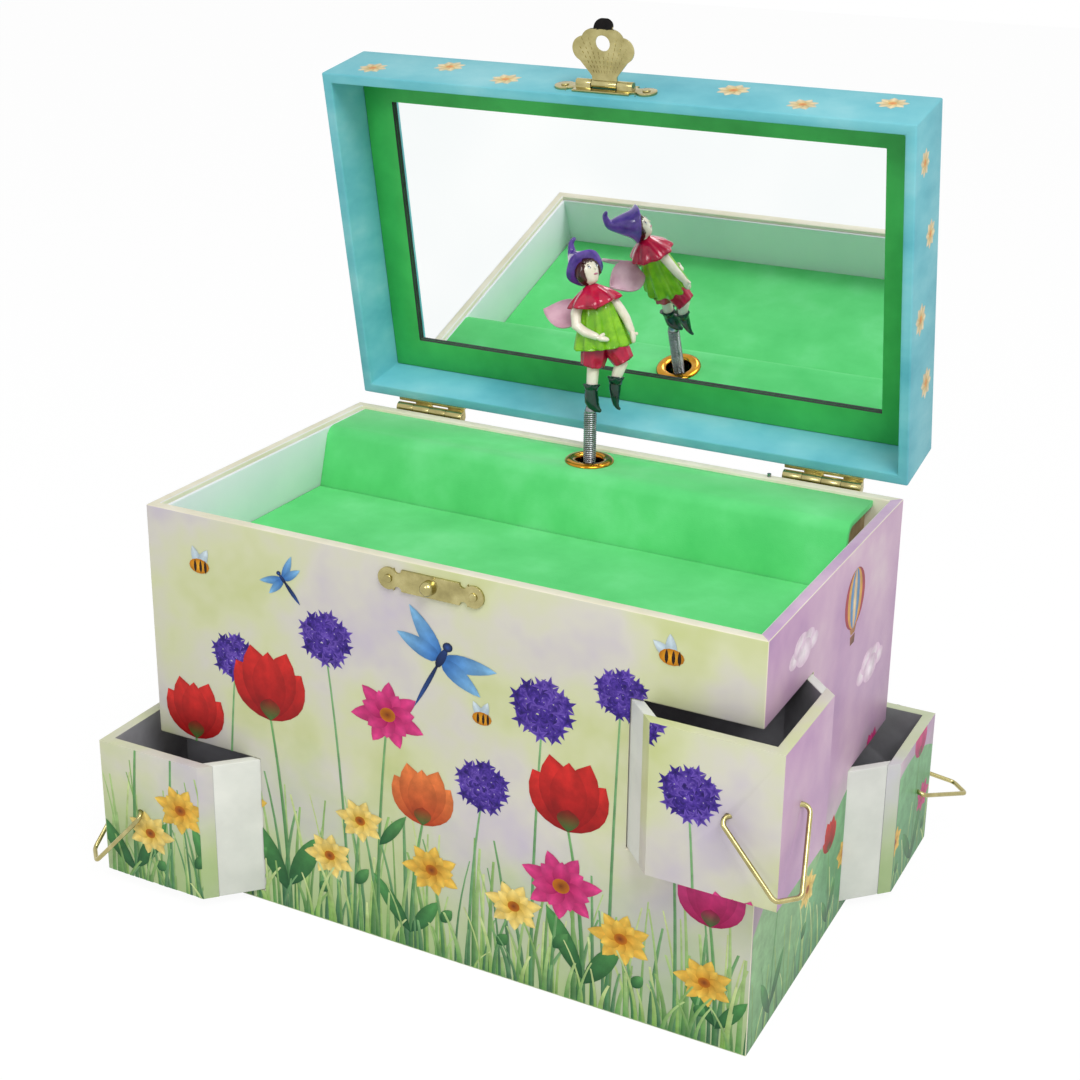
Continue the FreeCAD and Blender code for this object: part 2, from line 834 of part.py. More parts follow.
def mainspring_barrel():
    """Drum and crown wheel about Y, with the crown teeth facing the front."""
    axis = vec(spindle_x, 0, axis_z)
    drum = rod(axis + vec(0, root_y - barrel_length, 0), vec(0, 1, 0), barrel_radius, barrel_length)
    disc = rod(axis + vec(0, root_y, 0), vec(0, 1, 0), wheel_outer, wheel_rim)
    pieces = [drum, disc]
    inner = wheel_radius - gear_face / 2
    for number in range(wheel_teeth):
        one = tooth(tooth_root_width, tooth_tip_width, tooth_addendum + tooth_dedendum, gear_face)
        one.translate(vec(0, inner, 0))
        one.rotate(vec(0, 0, 0), vec(1, 0, 0), 90)
        one.translate(vec(spindle_x, root_y, axis_z))
        one.rotate(axis, vec(0, 1, 0), number * 360 / wheel_teeth)
        pieces.append(one)
    bore = rod(axis, vec(0, 1, 0), arbor_radius, root_y + wheel_rim)
    return joined(pieces).cut(bore)


def winding_arbor():
    start = root_y - barrel_length
    end = half_depth + key_gap + key_hub_length
    return rod(vec(spindle_x, start, axis_z), vec(0, 1, 0), arbor_radius, end - start)


def winding_key():
    axis = vec(spindle_x, 0, axis_z)
    start = half_depth + key_gap
    hub = rod(axis + vec(0, start, 0), vec(0, 1, 0), key_hub_radius, key_hub_length + key_lobe_radius)
    centre_y = start + key_hub_length + key_lobe_radius
    half = key_sheet / 2
    pieces = [hub]
    holes = [rod(axis + vec(0, start, 0), vec(0, 1, 0), arbor_radius, key_hub_length)]
    for side in (-1, 1):
        place = vec(spindle_x - half, centre_y, axis_z + side * key_lobe_spread)
        pieces.append(rod(place, vec(1, 0, 0), key_lobe_radius, key_sheet))
        holes.append(rod(place, vec(1, 0, 0), key_hole_radius, key_sheet))
    return joined(pieces).cut(group(holes))


def movement_bedplate():
    left = spindle_x - bedplate_left
    low = axis_z - bedplate_below_axis
    high = tray_bottom
    plate = block(left, bedplate_right, bedplate_y, inner_y, low, high)
    cock_half = bush_flange_radius + cock_clearance
    pieces = [plate]
    pieces.append(block(left, spindle_x + bedplate_left, bedplate_y, inner_y, high, cock_top))
    pieces.append(block(spindle_x - cock_half, spindle_x + cock_half, spindle_y - cock_half, bedplate_y,
                        cock_bottom, cock_top))
    for x in (cheek_left, cheek_right):
        pieces.append(block(x, x + cheek, spindle_y - cheek_past_axis, bedplate_y,
                            axis_z - cheek_half_height, axis_z + cheek_half_height))
    pieces.append(rod(vec(spindle_x, inner_y, axis_z), vec(0, 1, 0), bedplate_boss_radius, board))
    pieces.append(block(cylinder_left, cylinder_right, spindle_y + comb_sheet / 2, bedplate_y,
                        comb_low, comb_low + comb_root))
    shape = joined(pieces)
    holes = [rod(vec(spindle_x, 0, axis_z), vec(0, 1, 0), arbor_radius + running_clearance, half_depth)]
    holes.append(rod(vec(spindle_x, spindle_y, cock_bottom), vec(0, 0, 1), bush_radius, cock_plate))
    shaft = cylinder_arbor_radius + running_clearance
    span = cheek_right + cheek - cheek_left
    holes.append(rod(vec(cheek_left, spindle_y, axis_z), vec(1, 0, 0), shaft, span))
    for x, z in bedplate_screw_places():
        holes.append(rod(vec(x, bedplate_y, z), vec(0, 1, 0), screw_radius + fastener_clearance, bedplate))
    for place in comb_screw_places():
        holes.append(rod(place, vec(0, 1, 0), comb_screw_radius + fastener_clearance, bedplate_y - place.y))
    return shape.cut(group(holes))


def movement_screws():
    length = bedplate + screw_length - fastener_clearance
    places = [vec(x, bedplate_y, z) for x, z in bedplate_screw_places()]
    plate_screws = [screw(place, vec(0, 1, 0), length) for place in places]
    return group(plate_screws + comb_screws())


def spindle_bush():
    bore = spindle_radius + running_clearance
    outline = [(bore, cock_bottom), (bush_radius, cock_bottom), (bush_radius, cock_top)]
    outline += [(bush_flange_radius, cock_top), (bush_flange_radius, cock_top + bush_flange)]
    outline += [(bush_radius, cock_top + bush_flange), (bush_radius, bush_top), (bore, bush_top)]
    return revolved(outline, spindle_x, spindle_y)


def spindle():
    low = axis_z + wheel_radius - gear_face / 2
    wheel = pinion(gear_face)
    wheel.translate(vec(spindle_x, spindle_y, low))
    top = rim - spindle_top_below_rim
    shaft = rod(vec(spindle_x, spindle_y, low), vec(0, 0, 1), spindle_radius, top - low)
    collar_foot = vec(spindle_x, spindle_y, bush_top + collar_clearance)
    collar = rod(collar_foot, vec(0, 0, 1), collar_radius, collar_length)
    return joined([wheel, shaft, collar])


def pin_cylinder():
    """Pinned drum about X with its driving pinion."""
    wheel = pinion(gear_face)
    wheel.rotate(vec(0, 0, 0), vec(0, 1, 0), 90)
    wheel.translate(vec(spindle_x + wheel_radius - gear_face / 2, spindle_y, axis_z))
    start = spindle_x + wheel_radius - gear_face / 2
    end = governor_left + governor_wall_to_shaft
    shaft = rod(vec(start, spindle_y, axis_z), vec(1, 0, 0), cylinder_arbor_radius, end - start)
    drum = rod(vec(cylinder_left, spindle_y, axis_z), vec(1, 0, 0), cylinder_radius, cylinder_length)
    pieces = [wheel, shaft, drum]
    track = cylinder_length / comb_teeth
    reach = cylinder_pin_height + cylinder_pin_radius
    for number in range(comb_teeth * cylinder_pins_per_track):
        turn = math.radians(number * cylinder_pin_turn)
        away = vec(0, math.cos(turn), math.sin(turn))
        x = cylinder_left + (number % comb_teeth + 0.5) * track
        foot = vec(x, spindle_y, axis_z) + away * (cylinder_radius - cylinder_pin_radius)
        pieces.append(rod(foot, away, cylinder_pin_radius, reach))
    return joined(pieces)


def comb_screw_places():
    quarter = cylinder_length / 4
    middle = (cylinder_left + cylinder_right) / 2
    y = spindle_y - comb_sheet / 2
    return [vec(middle + side * quarter, y, comb_low + comb_root / 2) for side in (-1, 1)]


def comb():
    low_y = spindle_y - comb_sheet / 2
    high_y = spindle_y + comb_sheet / 2
    shape = block(cylinder_left, cylinder_right, low_y, high_y, comb_low, comb_top)
    pitch = cylinder_length / comb_teeth
    cuts = []
    for number in range(1, comb_teeth):
        x = cylinder_left + number * pitch
        half_slot = comb_slot / 2
        cuts.append(block(x - half_slot, x + half_slot, low_y, high_y, comb_low + comb_root, comb_top))
    for place in comb_screw_places():
        cuts.append(rod(place, vec(0, 1, 0), comb_screw_radius + fastener_clearance, comb_sheet))
    return shape.cut(group(cuts))


def comb_screws():
    screws = []
    for place in comb_screw_places():
        length = bedplate_y - place.y - fastener_clearance
        one = headed(place, vec(0, 1, 0), comb_screw_head_radius, comb_screw_head, comb_screw_radius, length)
        screws.append(one)
    return screws


def governor_housing():
    right = governor_left + governor_width
    front = spindle_y - cheek_past_axis
    low = axis_z - governor_height / 2
    shape = block(governor_left, right, front, bedplate_y, low, low + governor_height)
    bore = cylinder_arbor_radius + running_clearance
    depth = governor_wall_to_shaft + cheek_gap
    shaft = rod(vec(governor_left, spindle_y, axis_z), vec(1, 0, 0), bore, depth)
    slot = stop_wire_radius + stop_wire_clearance
    z = axis_z + stop_wire_above_axis
    entry = block(right - stop_wire_entry - stop_wire_clearance, right, spindle_y - slot, spindle_y + slot,
                  z - slot - stop_wire_proud, z + slot)
    return shape.cut(shaft).cut(entry)


def stop_wire():
    top = rim + stop_wire_proud
    low = axis_z + stop_wire_above_axis
    end = governor_left + governor_width - stop_wire_entry
    points = [vec(stop_wire_x, stop_wire_y, top), vec(stop_wire_x, stop_wire_y, low)]
    points += [vec(stop_wire_x, spindle_y, low), vec(end, spindle_y, low)]
    return bent_rod(points, stop_wire_bend, stop_wire_radius)


# Coil spring and figure
def figure_spring():
    """Close-wound coil as a ribbed sleeve."""
    inner = spindle_radius + spring_fit
    turns = int((spring_top - spring_bottom) / spring_wire)
    pitch = (spring_top - spring_bottom) / turns
    edges = [Part.LineSegment(vec(inner, 0, spring_top), vec(inner, 0, spring_bottom)).toShape()]
    flat = spring_radius - spring_wire / 3
    edges.append(Part.LineSegment(vec(inner, 0, spring_bottom), vec(flat, 0, spring_bottom)).toShape())
    for turn in range(turns):
        low = spring_bottom + turn * pitch
        arc = Part.Arc(vec(flat, 0, low), vec(spring_radius, 0, low + pitch / 2), vec(flat, 0, low + pitch))
        edges.append(arc.toShape())
    edges.append(Part.LineSegment(vec(flat, 0, spring_top), vec(inner, 0, spring_top)).toShape())
    sleeve = Part.Face(Part.Wire(edges)).revolve(vec(0, 0, 0), vec(0, 0, 1), 360)
    sleeve.translate(vec(spindle_x, spindle_y, 0))
    return sleeve


def figure_place(across, toward, height):
    """A place on the figure: across to its left hand, toward the viewer, and up from its soles."""
    turn = math.radians(figure_turn)
    toward = toward - height * math.tan(math.radians(figure_lean))
    x = spindle_x + across * math.cos(turn) + toward * math.sin(turn)
    y = spindle_y + across * math.sin(turn) - toward * math.cos(turn)
    return vec(x, y, spring_top + height)


def limb(start, end, start_radius, end_radius):
    direction = end - start
    if start_radius == end_radius:
        pieces = [rod(start, direction, start_radius, direction.Length)]
    else:
        pieces = [Part.makeCone(start_radius, end_radius, direction.Length, start, direction)]
    pieces.append(Part.makeSphere(start_radius, start))
    pieces.append(Part.makeSphere(end_radius, end))
    return joined(pieces)


def figure_legs():
    heel = figure_place(standing_foot, 0, boot_radius)
    ankle = figure_place(standing_foot, 0, ankle_height)
    hip = figure_place(standing_foot, 0, hip_height)
    toe = figure_place(standing_foot + toe_reach, 0, boot_radius)
    raised_toe = figure_place(raised_foot, 0, raised_toe_height)
    raised_ankle = figure_place(raised_foot, 0, raised_toe_height + ankle_height)
    raised_hip = figure_place(raised_foot, 0, hip_height)
    pieces = [limb(heel, ankle, boot_radius, leg_radius), limb(heel, toe, boot_radius, toe_radius)]
    pieces.append(limb(ankle, hip, leg_radius, thigh_radius))
    pieces.append(limb(raised_toe, raised_ankle, toe_radius, leg_radius))
    pieces.append(limb(raised_ankle, raised_hip, leg_radius, thigh_radius))
    pieces.append(limb(hip, raised_hip, hip_radius, hip_radius))
    return pieces


def figure_arms():
    arms = []
    for side, forward in ((-1, right_hand_forward), (1, 0)):
        shoulder = chest_centre + side * arm_spread
        elbow = shoulder + side * elbow_radius
        elbow_height = shoulder_height - forearm_drop
        hand = elbow - side * forward
        bent = figure_place(elbow, forward / 2, elbow_height)
        arms.append(limb(figure_place(shoulder, 0, shoulder_height), bent, arm_radius, elbow_radius))
        palm = figure_place(hand, forward, elbow_height - elbow_radius)
        arms.append(limb(bent, palm, elbow_radius, hand_radius))
    return arms


def figure():
    """One painted casting with a peg that holds it in the spring."""
    foot = vec(spindle_x, spindle_y, spring_top - peg_length)
    pieces = [rod(foot, vec(0, 0, 1), spindle_radius, peg_length + boot_radius)]
    pieces += figure_legs()
    chest = figure_place(chest_centre, 0, shoulder_height)
    head = figure_place(head_centre, 0, head_height)
    pieces.append(limb(figure_place(tunic_centre, 0, hem_height), chest, hem_radius, chest_radius))
    pieces += figure_arms()
    nape = head - chest
    nape.normalize()
    cape_foot = chest + nape * cape_above_shoulder
    pieces.append(Part.makeCone(cape_radius, cape_top_radius, cape_rise, cape_foot, nape))
    pieces.append(rod(chest, nape, neck_radius, (head - chest).Length))
    pieces.append(Part.makeSphere(head_radius, head))
    tip = figure_place(head_centre - hat_lean, -hat_fall_back, head_height + hat_rise)
    pieces.append(Part.makeCone(hat_radius, hat_tip_radius, (tip - head).Length, head, tip - head))
    pieces.append(Part.makeSphere(hat_tip_radius, tip))
    return joined(pieces)


def figure_wings():
    """Two thin leaf-shaped wings on the back, their upper edges leaning outward."""
    root = figure_place(wing_root, -wing_root_back, shoulder_height - wing_below_shoulder)
    tilt = math.radians(wing_tilt)
    wings = []
    for heading, side in ((right_wing_heading, 1), (left_wing_heading, -1)):
        angle = math.radians(heading - figure_turn)
        out = vec(math.cos(angle), -math.sin(angle), 0)
        lean = vec(math.sin(angle), math.cos(angle), 0) * -side
        rise = lean * math.sin(tilt) + vec(0, 0, math.cos(tilt))
        outline = [(wing_start, 0), (wing_reach * 0.4, -wing_half_height), (wing_reach * 0.6, -wing_half_height * 0.8)]
        outline += [(wing_reach, 0), (wing_reach * 0.7, wing_half_height * 0.8), (wing_reach * 0.4, wing_half_height)]
        points = [root + out * along + rise * up for along, up in outline]
        wings.append(face_of(points).extrude(out.cross(rise) * wing_sheet))
    return joined(wings).cut(figure())


def main():
    os.makedirs("parts", exist_ok=True)
    save("bottom_board", block(-inner_x, inner_x, -inner_y, inner_y, 0, bottom_board))
    save("front_board", front_board())
    save("back_board", back_board())
    save("side_boards", group([side_board(-1), side_board(1)]))
    save("middle_shelf", block(-inner_x, inner_x, -inner_y, inner_y, shelf_bottom, upper_bay))
    save("tray_floor", tray_floor())
    save("tray_flock", tray_flock())
    save("tray_liners", tray_liners())
    save("ledge_cover", ledge_cover())
    save("ledge_ribs", ledge_ribs())
    save("eyelet", eyelet())
    save("drawer_guides", drawer_guides())
    save("hinge_base_leaves", hinge_base_leaves())
    save("hinge_pins", hinge_pins())
    save("hinge_base_screws", hinge_screws(base_screw_z))
    save("strike_plate", strike_plate())
    save("strike_nails", nails(strike_z))

    save("lid_panel", opened(lid_panel()))
    save("lid_front_rail", opened(lid_front_rail()))
    save("lid_back_rail", opened(lid_back_rail()))
    save("lid_side_rails", opened(lid_side_rails()))
    save("mirror_mat", opened(mirror_mat()))
    save("mirror", opened(mirror()))
    save("mirror_backing", opened(mirror_backing()))
    save("hinge_lid_leaves", opened(hinge_lid_leaves()))
    save("hinge_lid_screws", opened(hinge_screws(lid_screw_z)))
    save("hasp_plate", opened(hasp_plate()))
    save("hasp_pin", opened(hasp_pin()))
    save("hasp_nails", opened(nails(hasp_z)))
    save("hasp_flap", opened(hasp_flap()))

    for corner in corners:
        save(corner.name + "_drawer_faces", drawer_faces(corner))
        save(corner.name + "_drawer_walls", drawer_walls(corner))
        save(corner.name + "_drawer_floor", drawer_base(corner))
        save(corner.name + "_bail", drawer_bail(corner))

    save("movement_bedplate", movement_bedplate())
    save("movement_screws", movement_screws())
    save("spindle_bush", spindle_bush())
    save("comb", comb())
    save("governor_housing", governor_housing())
    save("pin_cylinder", pin_cylinder())
    save("mainspring_barrel", mainspring_barrel())
    save("winding_arbor", winding_arbor())
    save("winding_key", winding_key())
    save("stop_wire", stop_wire())
    save("spindle", spindle())
    save("figure_spring", figure_spring())
    save("figure", figure())
    save("figure_wings", figure_wings())


main()
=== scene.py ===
import bpy
import json
import random
from math import cos, pi, radians, sin, sqrt, tan
from mathutils import Matrix, Vector

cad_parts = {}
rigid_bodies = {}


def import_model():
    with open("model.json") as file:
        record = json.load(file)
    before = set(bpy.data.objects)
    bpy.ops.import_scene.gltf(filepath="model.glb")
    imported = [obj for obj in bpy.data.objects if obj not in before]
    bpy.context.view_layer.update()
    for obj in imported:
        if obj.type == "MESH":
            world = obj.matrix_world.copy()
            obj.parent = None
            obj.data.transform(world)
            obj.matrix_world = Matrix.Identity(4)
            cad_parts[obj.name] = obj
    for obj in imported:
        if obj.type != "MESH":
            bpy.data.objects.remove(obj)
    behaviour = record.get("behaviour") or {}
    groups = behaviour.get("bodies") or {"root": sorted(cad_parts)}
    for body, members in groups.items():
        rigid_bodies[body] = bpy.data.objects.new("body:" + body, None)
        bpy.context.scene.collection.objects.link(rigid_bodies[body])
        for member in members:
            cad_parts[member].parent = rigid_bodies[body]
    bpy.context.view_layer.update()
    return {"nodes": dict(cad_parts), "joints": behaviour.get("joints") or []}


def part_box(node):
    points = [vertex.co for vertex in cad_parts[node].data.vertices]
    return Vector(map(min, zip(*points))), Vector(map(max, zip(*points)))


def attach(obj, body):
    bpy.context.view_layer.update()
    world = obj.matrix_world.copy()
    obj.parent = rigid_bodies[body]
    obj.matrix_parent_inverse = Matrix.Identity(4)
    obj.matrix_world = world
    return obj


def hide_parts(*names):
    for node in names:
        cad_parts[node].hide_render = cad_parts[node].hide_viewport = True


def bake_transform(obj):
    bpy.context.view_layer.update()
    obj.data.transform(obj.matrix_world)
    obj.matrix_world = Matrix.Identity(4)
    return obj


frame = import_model()
nodes = frame["nodes"]
joints = {joint["name"]: joint for joint in frame["joints"]}
mm = 0.001
print("frame loaded:", len(nodes), "nodes")


# working by hand: selection, primitives, modifiers
def pick(*objs):
    if bpy.context.object and bpy.context.object.mode != "OBJECT":
        bpy.ops.object.mode_set(mode="OBJECT")
    bpy.ops.object.select_all(action="DESELECT")
    for obj in objs:
        obj.select_set(True)
    bpy.context.view_layer.objects.active = objs[0] if objs else None


def settle(obj):  # place, turn and scale go into the mesh
    pick(obj)
    bpy.ops.object.transform_apply(location=True, rotation=True, scale=True)
    return obj


def addShape(name, operator, **settings):  # a new object under its own name
    pick()
    operator(**settings)
    bpy.context.object.name = name
    return bpy.context.object


def addBlock(name, low, high):
    low, high = Vector(low), Vector(high)
    return settle(addShape(name, bpy.ops.mesh.primitive_cube_add, size=1, location=(low + high) / 2, scale=high - low))


def applyModifier(obj, kind, **settings):
    pick(obj)
    modifier = obj.modifiers.new(kind.lower(), kind)
    for name, value in settings.items():
        setattr(modifier, name, value)
    bpy.ops.object.modifier_apply(modifier=modifier.name)
    return obj


def cutAway(obj, *tools):
    for tool in tools:
        applyModifier(obj, "BOOLEAN", operation="DIFFERENCE", object=tool, solver="EXACT")
        bpy.data.objects.remove(tool)
    return obj


def roundEdges(obj, width, segments=3, angle=30):
    applyModifier(obj, "BEVEL", width=width, segments=segments, limit_method="ANGLE",
                  angle_limit=radians(angle))
    pick(obj)
    bpy.ops.object.shade_smooth_by_angle(angle=radians(angle))
    return obj


def joinPieces(name, *objs):
    pick(*objs)
    bpy.ops.object.join()
    objs[0].name = name
    return objs[0]


def editWhole(obj, *steps):  # edit-mode operators, each on the whole mesh
    pick(obj)
    bpy.ops.object.mode_set(mode="EDIT")
    for operator, settings in steps:
        bpy.ops.mesh.select_all(action="SELECT")
        operator(**settings)
    bpy.ops.object.mode_set(mode="OBJECT")
    return obj


facingOut = (bpy.ops.mesh.normals_make_consistent, dict(inside=False))


def addOutline(name, places, lift):  # a flat outline raised into a slab
    obj = addShape(name, bpy.ops.mesh.primitive_circle_add, vertices=len(places), radius=1, fill_type="NGON")
    for vertex, place in zip(obj.data.vertices, places):
        vertex.co = place
    raised = (bpy.ops.mesh.extrude_region_move, dict(TRANSFORM_OT_translate={"value": lift}))
    return editWhole(obj, raised, facingOut)


def looseCopy(node, name):  # a merged copy of a CAD node, ready to be worked on
    copy = nodes[node].copy()
    copy.data = nodes[node].data.copy()
    copy.name = name
    for key in list(copy.keys()):
        del copy[key]
    copy.parent = None
    bpy.context.scene.collection.objects.link(copy)
    copy.data.materials.clear()
    return editWhole(copy, (bpy.ops.mesh.remove_doubles, dict(threshold=0.002 * mm)),
                     (bpy.ops.mesh.dissolve_limited, dict(angle_limit=radians(1))))


def finishPiece(obj, body, material=None, stands=()):
    if material:
        obj.data.materials.clear()
        obj.data.materials.append(material)
    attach(obj, body)
    if stands:
        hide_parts(*stands)
    return obj


def paintFaces(obj, material, wanted):  # gives a material to the faces that wanted() picks by place and normal
    if material.name not in obj.data.materials:
        obj.data.materials.append(material)
    number = obj.data.materials.find(material.name)
    for face in obj.data.polygons:
        if wanted(face.center, face.normal):
            face.material_index = number


def dress(material, *names):  # a CAD node keeps its shape and gets a finish
    for name in names:
        nodes[name].data.materials.clear()
        nodes[name].data.materials.append(material)
        for face in nodes[name].data.polygons:
            face.material_index = 0


# materials
def linear(code):
    parts = [int(code[i:i + 2], 16) / 255 for i in (1, 3, 5)]
    return [p / 12.92 if p <= 0.04045 else ((p + 0.055) / 1.055) ** 2.4 for p in parts] + [1]


def addNode(material, kind, settings=None, links=None):  # a new node, or one at hand that gets its links
    tree = material.node_tree
    node = tree.nodes.new("ShaderNode" + kind) if isinstance(kind, str) else kind
    for name, value in (settings or {}).items():
        if isinstance(name, str) and hasattr(node, name):
            setattr(node, name, value)
        else:
            node.inputs[name].default_value = value
    for name, source in (links or {}).items():  # a node as source gives its first output
        socket = source if isinstance(source, bpy.types.NodeSocket) else source.outputs[0]
        tree.links.new(socket, node.inputs[name])
    return node


def newMaterial(name, **sockets):
    material = bpy.data.materials.new(name)
    material.use_nodes = True
    shader = material.node_tree.nodes["Principled BSDF"]
    for socket, value in sockets.items():
        shader.inputs[socket.replace("_", " ")].default_value = value
    return material, shader


def setRamp(node, stops):  # (place, colour) for each stop, or just two colours in even shares
    if isinstance(stops[0], str):
        stops = list(zip((0.35, 0.65), stops))
    elements = node.color_ramp.elements
    while len(elements) < len(stops):
        elements.new(0.5)
    for element, (place, code) in zip(elements, stops):
        element.position = place
        element.color = linear(code)
    return node


def mottled(name, stops, grain, tooth, depth, roughness, stretch=(1, 1, 1), **sockets):
    # cloudy colour of a given grain in mm, with a fine surface tooth in mm that also varies the gloss
    material, shader = newMaterial(name, Roughness=roughness, **sockets)
    place = addNode(material, "TexCoord").outputs["Object"]
    mapping = addNode(material, "Mapping", {"Scale": stretch}, {"Vector": place})
    clouds = addNode(material, "TexNoise", {"Scale": 1 / (grain * mm), "Detail": 4.0, "Roughness": 0.55},
                     {"Vector": mapping})
    ramp = setRamp(addNode(material, "ValToRGB", {}, {"Fac": clouds}), stops)
    fine = addNode(material, "TexNoise", {"Scale": 1 / (tooth * mm), "Detail": 2.0}, {"Vector": place})
    bump = addNode(material, "Bump", {"Strength": 0.5, "Distance": depth * mm}, {"Height": fine})
    gloss = addNode(material, "MapRange", {"To Min": roughness - 0.08, "To Max": roughness + 0.1}, {"Value": fine})
    addNode(material, shader, {}, {"Base Color": ramp, "Normal": bump, "Roughness": gloss})
    return material


# printed art paper, pasted on board: soft watercolour clouds under a matt varnish, with a faint paper tooth
def meadowPaper(name, stops, ground):  # a clouded wash that deepens to the ground's green toward the foot of the box
    material = mottled(name, stops, 55, 0.9, 0.012, 0.42, Specular_IOR_Level=0.25)
    shader = material.node_tree.nodes["Principled BSDF"]
    sky = shader.inputs["Base Color"].links[0].from_socket
    place = addNode(material, "TexCoord").outputs["Object"]
    height = addNode(material, "SeparateXYZ", {}, {"Vector": place})
    ragged = addNode(material, "TexNoise", {"Scale": 1 / (26 * mm), "Detail": 5.0}, {"Vector": place})
    edge = addNode(material, "MapRange", {"To Min": -34 * mm, "To Max": 34 * mm}, {"Value": ragged})
    level = addNode(material, "Math", {"operation": "ADD"}, {0: height.outputs["Z"], 1: edge})
    share = addNode(material, "MapRange", {"From Min": -6 * mm, "From Max": 58 * mm, "To Min": 0.9, "To Max": 0.0},
                    {"Value": level})
    wash = addNode(material, "Mix", {"data_type": "RGBA", 7: linear(ground)}, {0: share, 6: sky})
    addNode(material, shader, {}, {"Base Color": wash.outputs[2]})
    return material


frontPaper = meadowPaper("printedPaperFront", [(0.34, "#c6ce8c"), (0.46, "#d4d8ae"), (0.56, "#d6d3c6"),
                                               (0.7, "#c7bdcd")], "#9dba7c")
rightPaper = meadowPaper("printedPaperRight", [(0.3, "#a884b0"), (0.45, "#c49dc0"), (0.58, "#d4b3ca"),
                                               (0.72, "#e4d2d6")], "#7fae84")
leftPaper = meadowPaper("printedPaperLeft", [(0.3, "#cfd9b0"), (0.5, "#dfe3cf"), (0.7, "#cfdfe3")], "#a3bd84")
backPaper = meadowPaper("printedPaperBack", [(0.3, "#cdd7ad"), (0.5, "#dcdfc6"), (0.7, "#d3cfdb")], "#a3bd84")
creamPaper = mottled("creamEdgePaper", ("#e2dcc0", "#efe9d6"), 22, 0.9, 0.012, 0.45)
paleBluePaper = mottled("paleBlueLiningPaper", [(0.3, "#e9ebf3"), (0.5, "#eff0f7"), (0.7, "#f4f4f9")],
                        38, 0.9, 0.012, 0.5)
pinkPaper = mottled("pinkEdgePaper", ("#c3a0c6", "#dcbdd6"), 22, 0.9, 0.012, 0.45)
turquoisePaper = mottled("turquoisePaper", [(0.28, "#59b0bf"), (0.48, "#6fc1cd"), (0.6, "#7dc9d3"), (0.75, "#93d3db")],
                         34, 0.9, 0.012, 0.5, stretch=(1, 1, 2.2), Specular_IOR_Level=0.3)
matPaper = mottled("greenMatPaper", ("#2ea546", "#44c45b"), 30, 0.7, 0.01, 0.5)
drawerPaper = mottled("offWhiteDrawerPaper", ("#d5d8d0", "#e4e6de"), 18, 0.8, 0.02, 0.55)
# inside the drawers: the lining's grey-white deepened to a mid grey as painted shade
drawerLiningShaded = mottled("greyDrawerLiningWithShade", ("#8f8e93", "#a5a4aa"), 14, 0.8, 0.02, 0.75)
fibreboard = mottled("sandedFibreboard", ("#a98f68", "#bfa57c"), 6, 0.5, 0.02, 0.8)
greyCard = mottled("greyPasteboard", ("#85827c", "#98958e"), 6, 0.5, 0.02, 0.85)
# flocked pile: short upright fibres that catch light at the edges and lie unevenly, so lighter and darker strokes show
greenFlock = mottled("greenFlock", [(0.3, "#55d072"), (0.5, "#62da7e"), (0.7, "#76e491")], 26, 0.45, 0.12, 0.92,
                     Sheen_Weight=0.5, Sheen_Roughness=0.45, Sheen_Tint=linear("#a9f0b8"))
# thin brass plate, stamped and polished, with a few softer spots
paleBrass = mottled("stampedPaleBrass", [(0.3, "#9f9564"), (0.5, "#b1a772"), (0.7, "#c3b984")], 5, 0.6, 0.006, 0.2,
                    Metallic=1.0)
goldBrass = mottled("rolledGoldBrass", ("#b57a1c", "#d29a3a"), 6, 0.6, 0.004, 0.16, Metallic=1.0)
brightSteel = mottled("drawnSteel", ("#85888b", "#aaadb0"), 4, 0.4, 0.006, 0.24, Metallic=1.0)
nickelPlate = mottled("nickelPlate", ("#bdbab2", "#d2cfc6"), 6, 0.5, 0.004, 0.2, Metallic=1.0)
zincCasting = mottled("platedZincCasting", ("#a39468", "#bdae80"), 5, 0.5, 0.02, 0.4, Metallic=1.0)
# black painted on the brass flap's curled lip: painted dark reflection and shade
lipShadeAndReflection = mottled("lipShadeAndReflection", ("#0b0a0a", "#171413"), 2, 0.5, 0.01, 0.3, Specular_IOR_Level=0.1)
blackMoulding = mottled("blackMouldedNylon", ("#1b1b1d", "#29292c"), 5, 0.4, 0.015, 0.55)
# near-black painted shade for the mat's cut edge round the mirror
cutEdgeShade = mottled("paintedShadeCutEdge", ("#15201b", "#26332c"), 4, 0.5, 0.01, 0.7)
# float glass silvered behind: clean and flat, with the faintest haze
silvered, mirrorShader = newMaterial("silveredGlass", Metallic=1.0, Roughness=0.015)
mirrorPlace = addNode(silvered, "TexCoord").outputs["Object"]
mirrorHaze = addNode(silvered, "TexNoise", {"Scale": 1 / (60 * mm)}, {"Vector": mirrorPlace})
mirrorRamp = setRamp(addNode(silvered, "ValToRGB", {}, {"Fac": mirrorHaze}), [(0.3, "#f4f8f8"), (0.7, "#fbfdfc")])
addNode(silvered, mirrorShader, {}, {"Base Color": mirrorRamp})
print("materials made:", len(bpy.data.materials))


# box measures, read from the frame
frontLow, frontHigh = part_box("front_board")
halfWidth, halfDepth, rimHeight = frontHigh.x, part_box("back_board")[1].y, frontHigh.z
board = frontHigh.y - frontLow.y
innerX, innerY = halfWidth - board, halfDepth - board
sides = {"front_left": (-1, -1), "front_right": (1, -1), "rear_right": (1, 1), "rear_left": (-1, 1)}
drawerOut = {}  # how far each drawer stands out along X and Y at rest
for name, way in sides.items():
    low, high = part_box(name + "_drawer_faces")
    drawerOut[name] = (high.x if way[0] > 0 else -low.x) - halfWidth
hingePlace = Vector(joints["lid_hinge"]["pos_m"])
openAngle = radians(joints["lid_hinge"]["range_deg"][1])
lidOpen = Matrix.Translation(hingePlace) @ Matrix.Rotation(-openAngle, 4, "X") @ Matrix.Translation(-hingePlace)
lidShut = lidOpen.inverted()


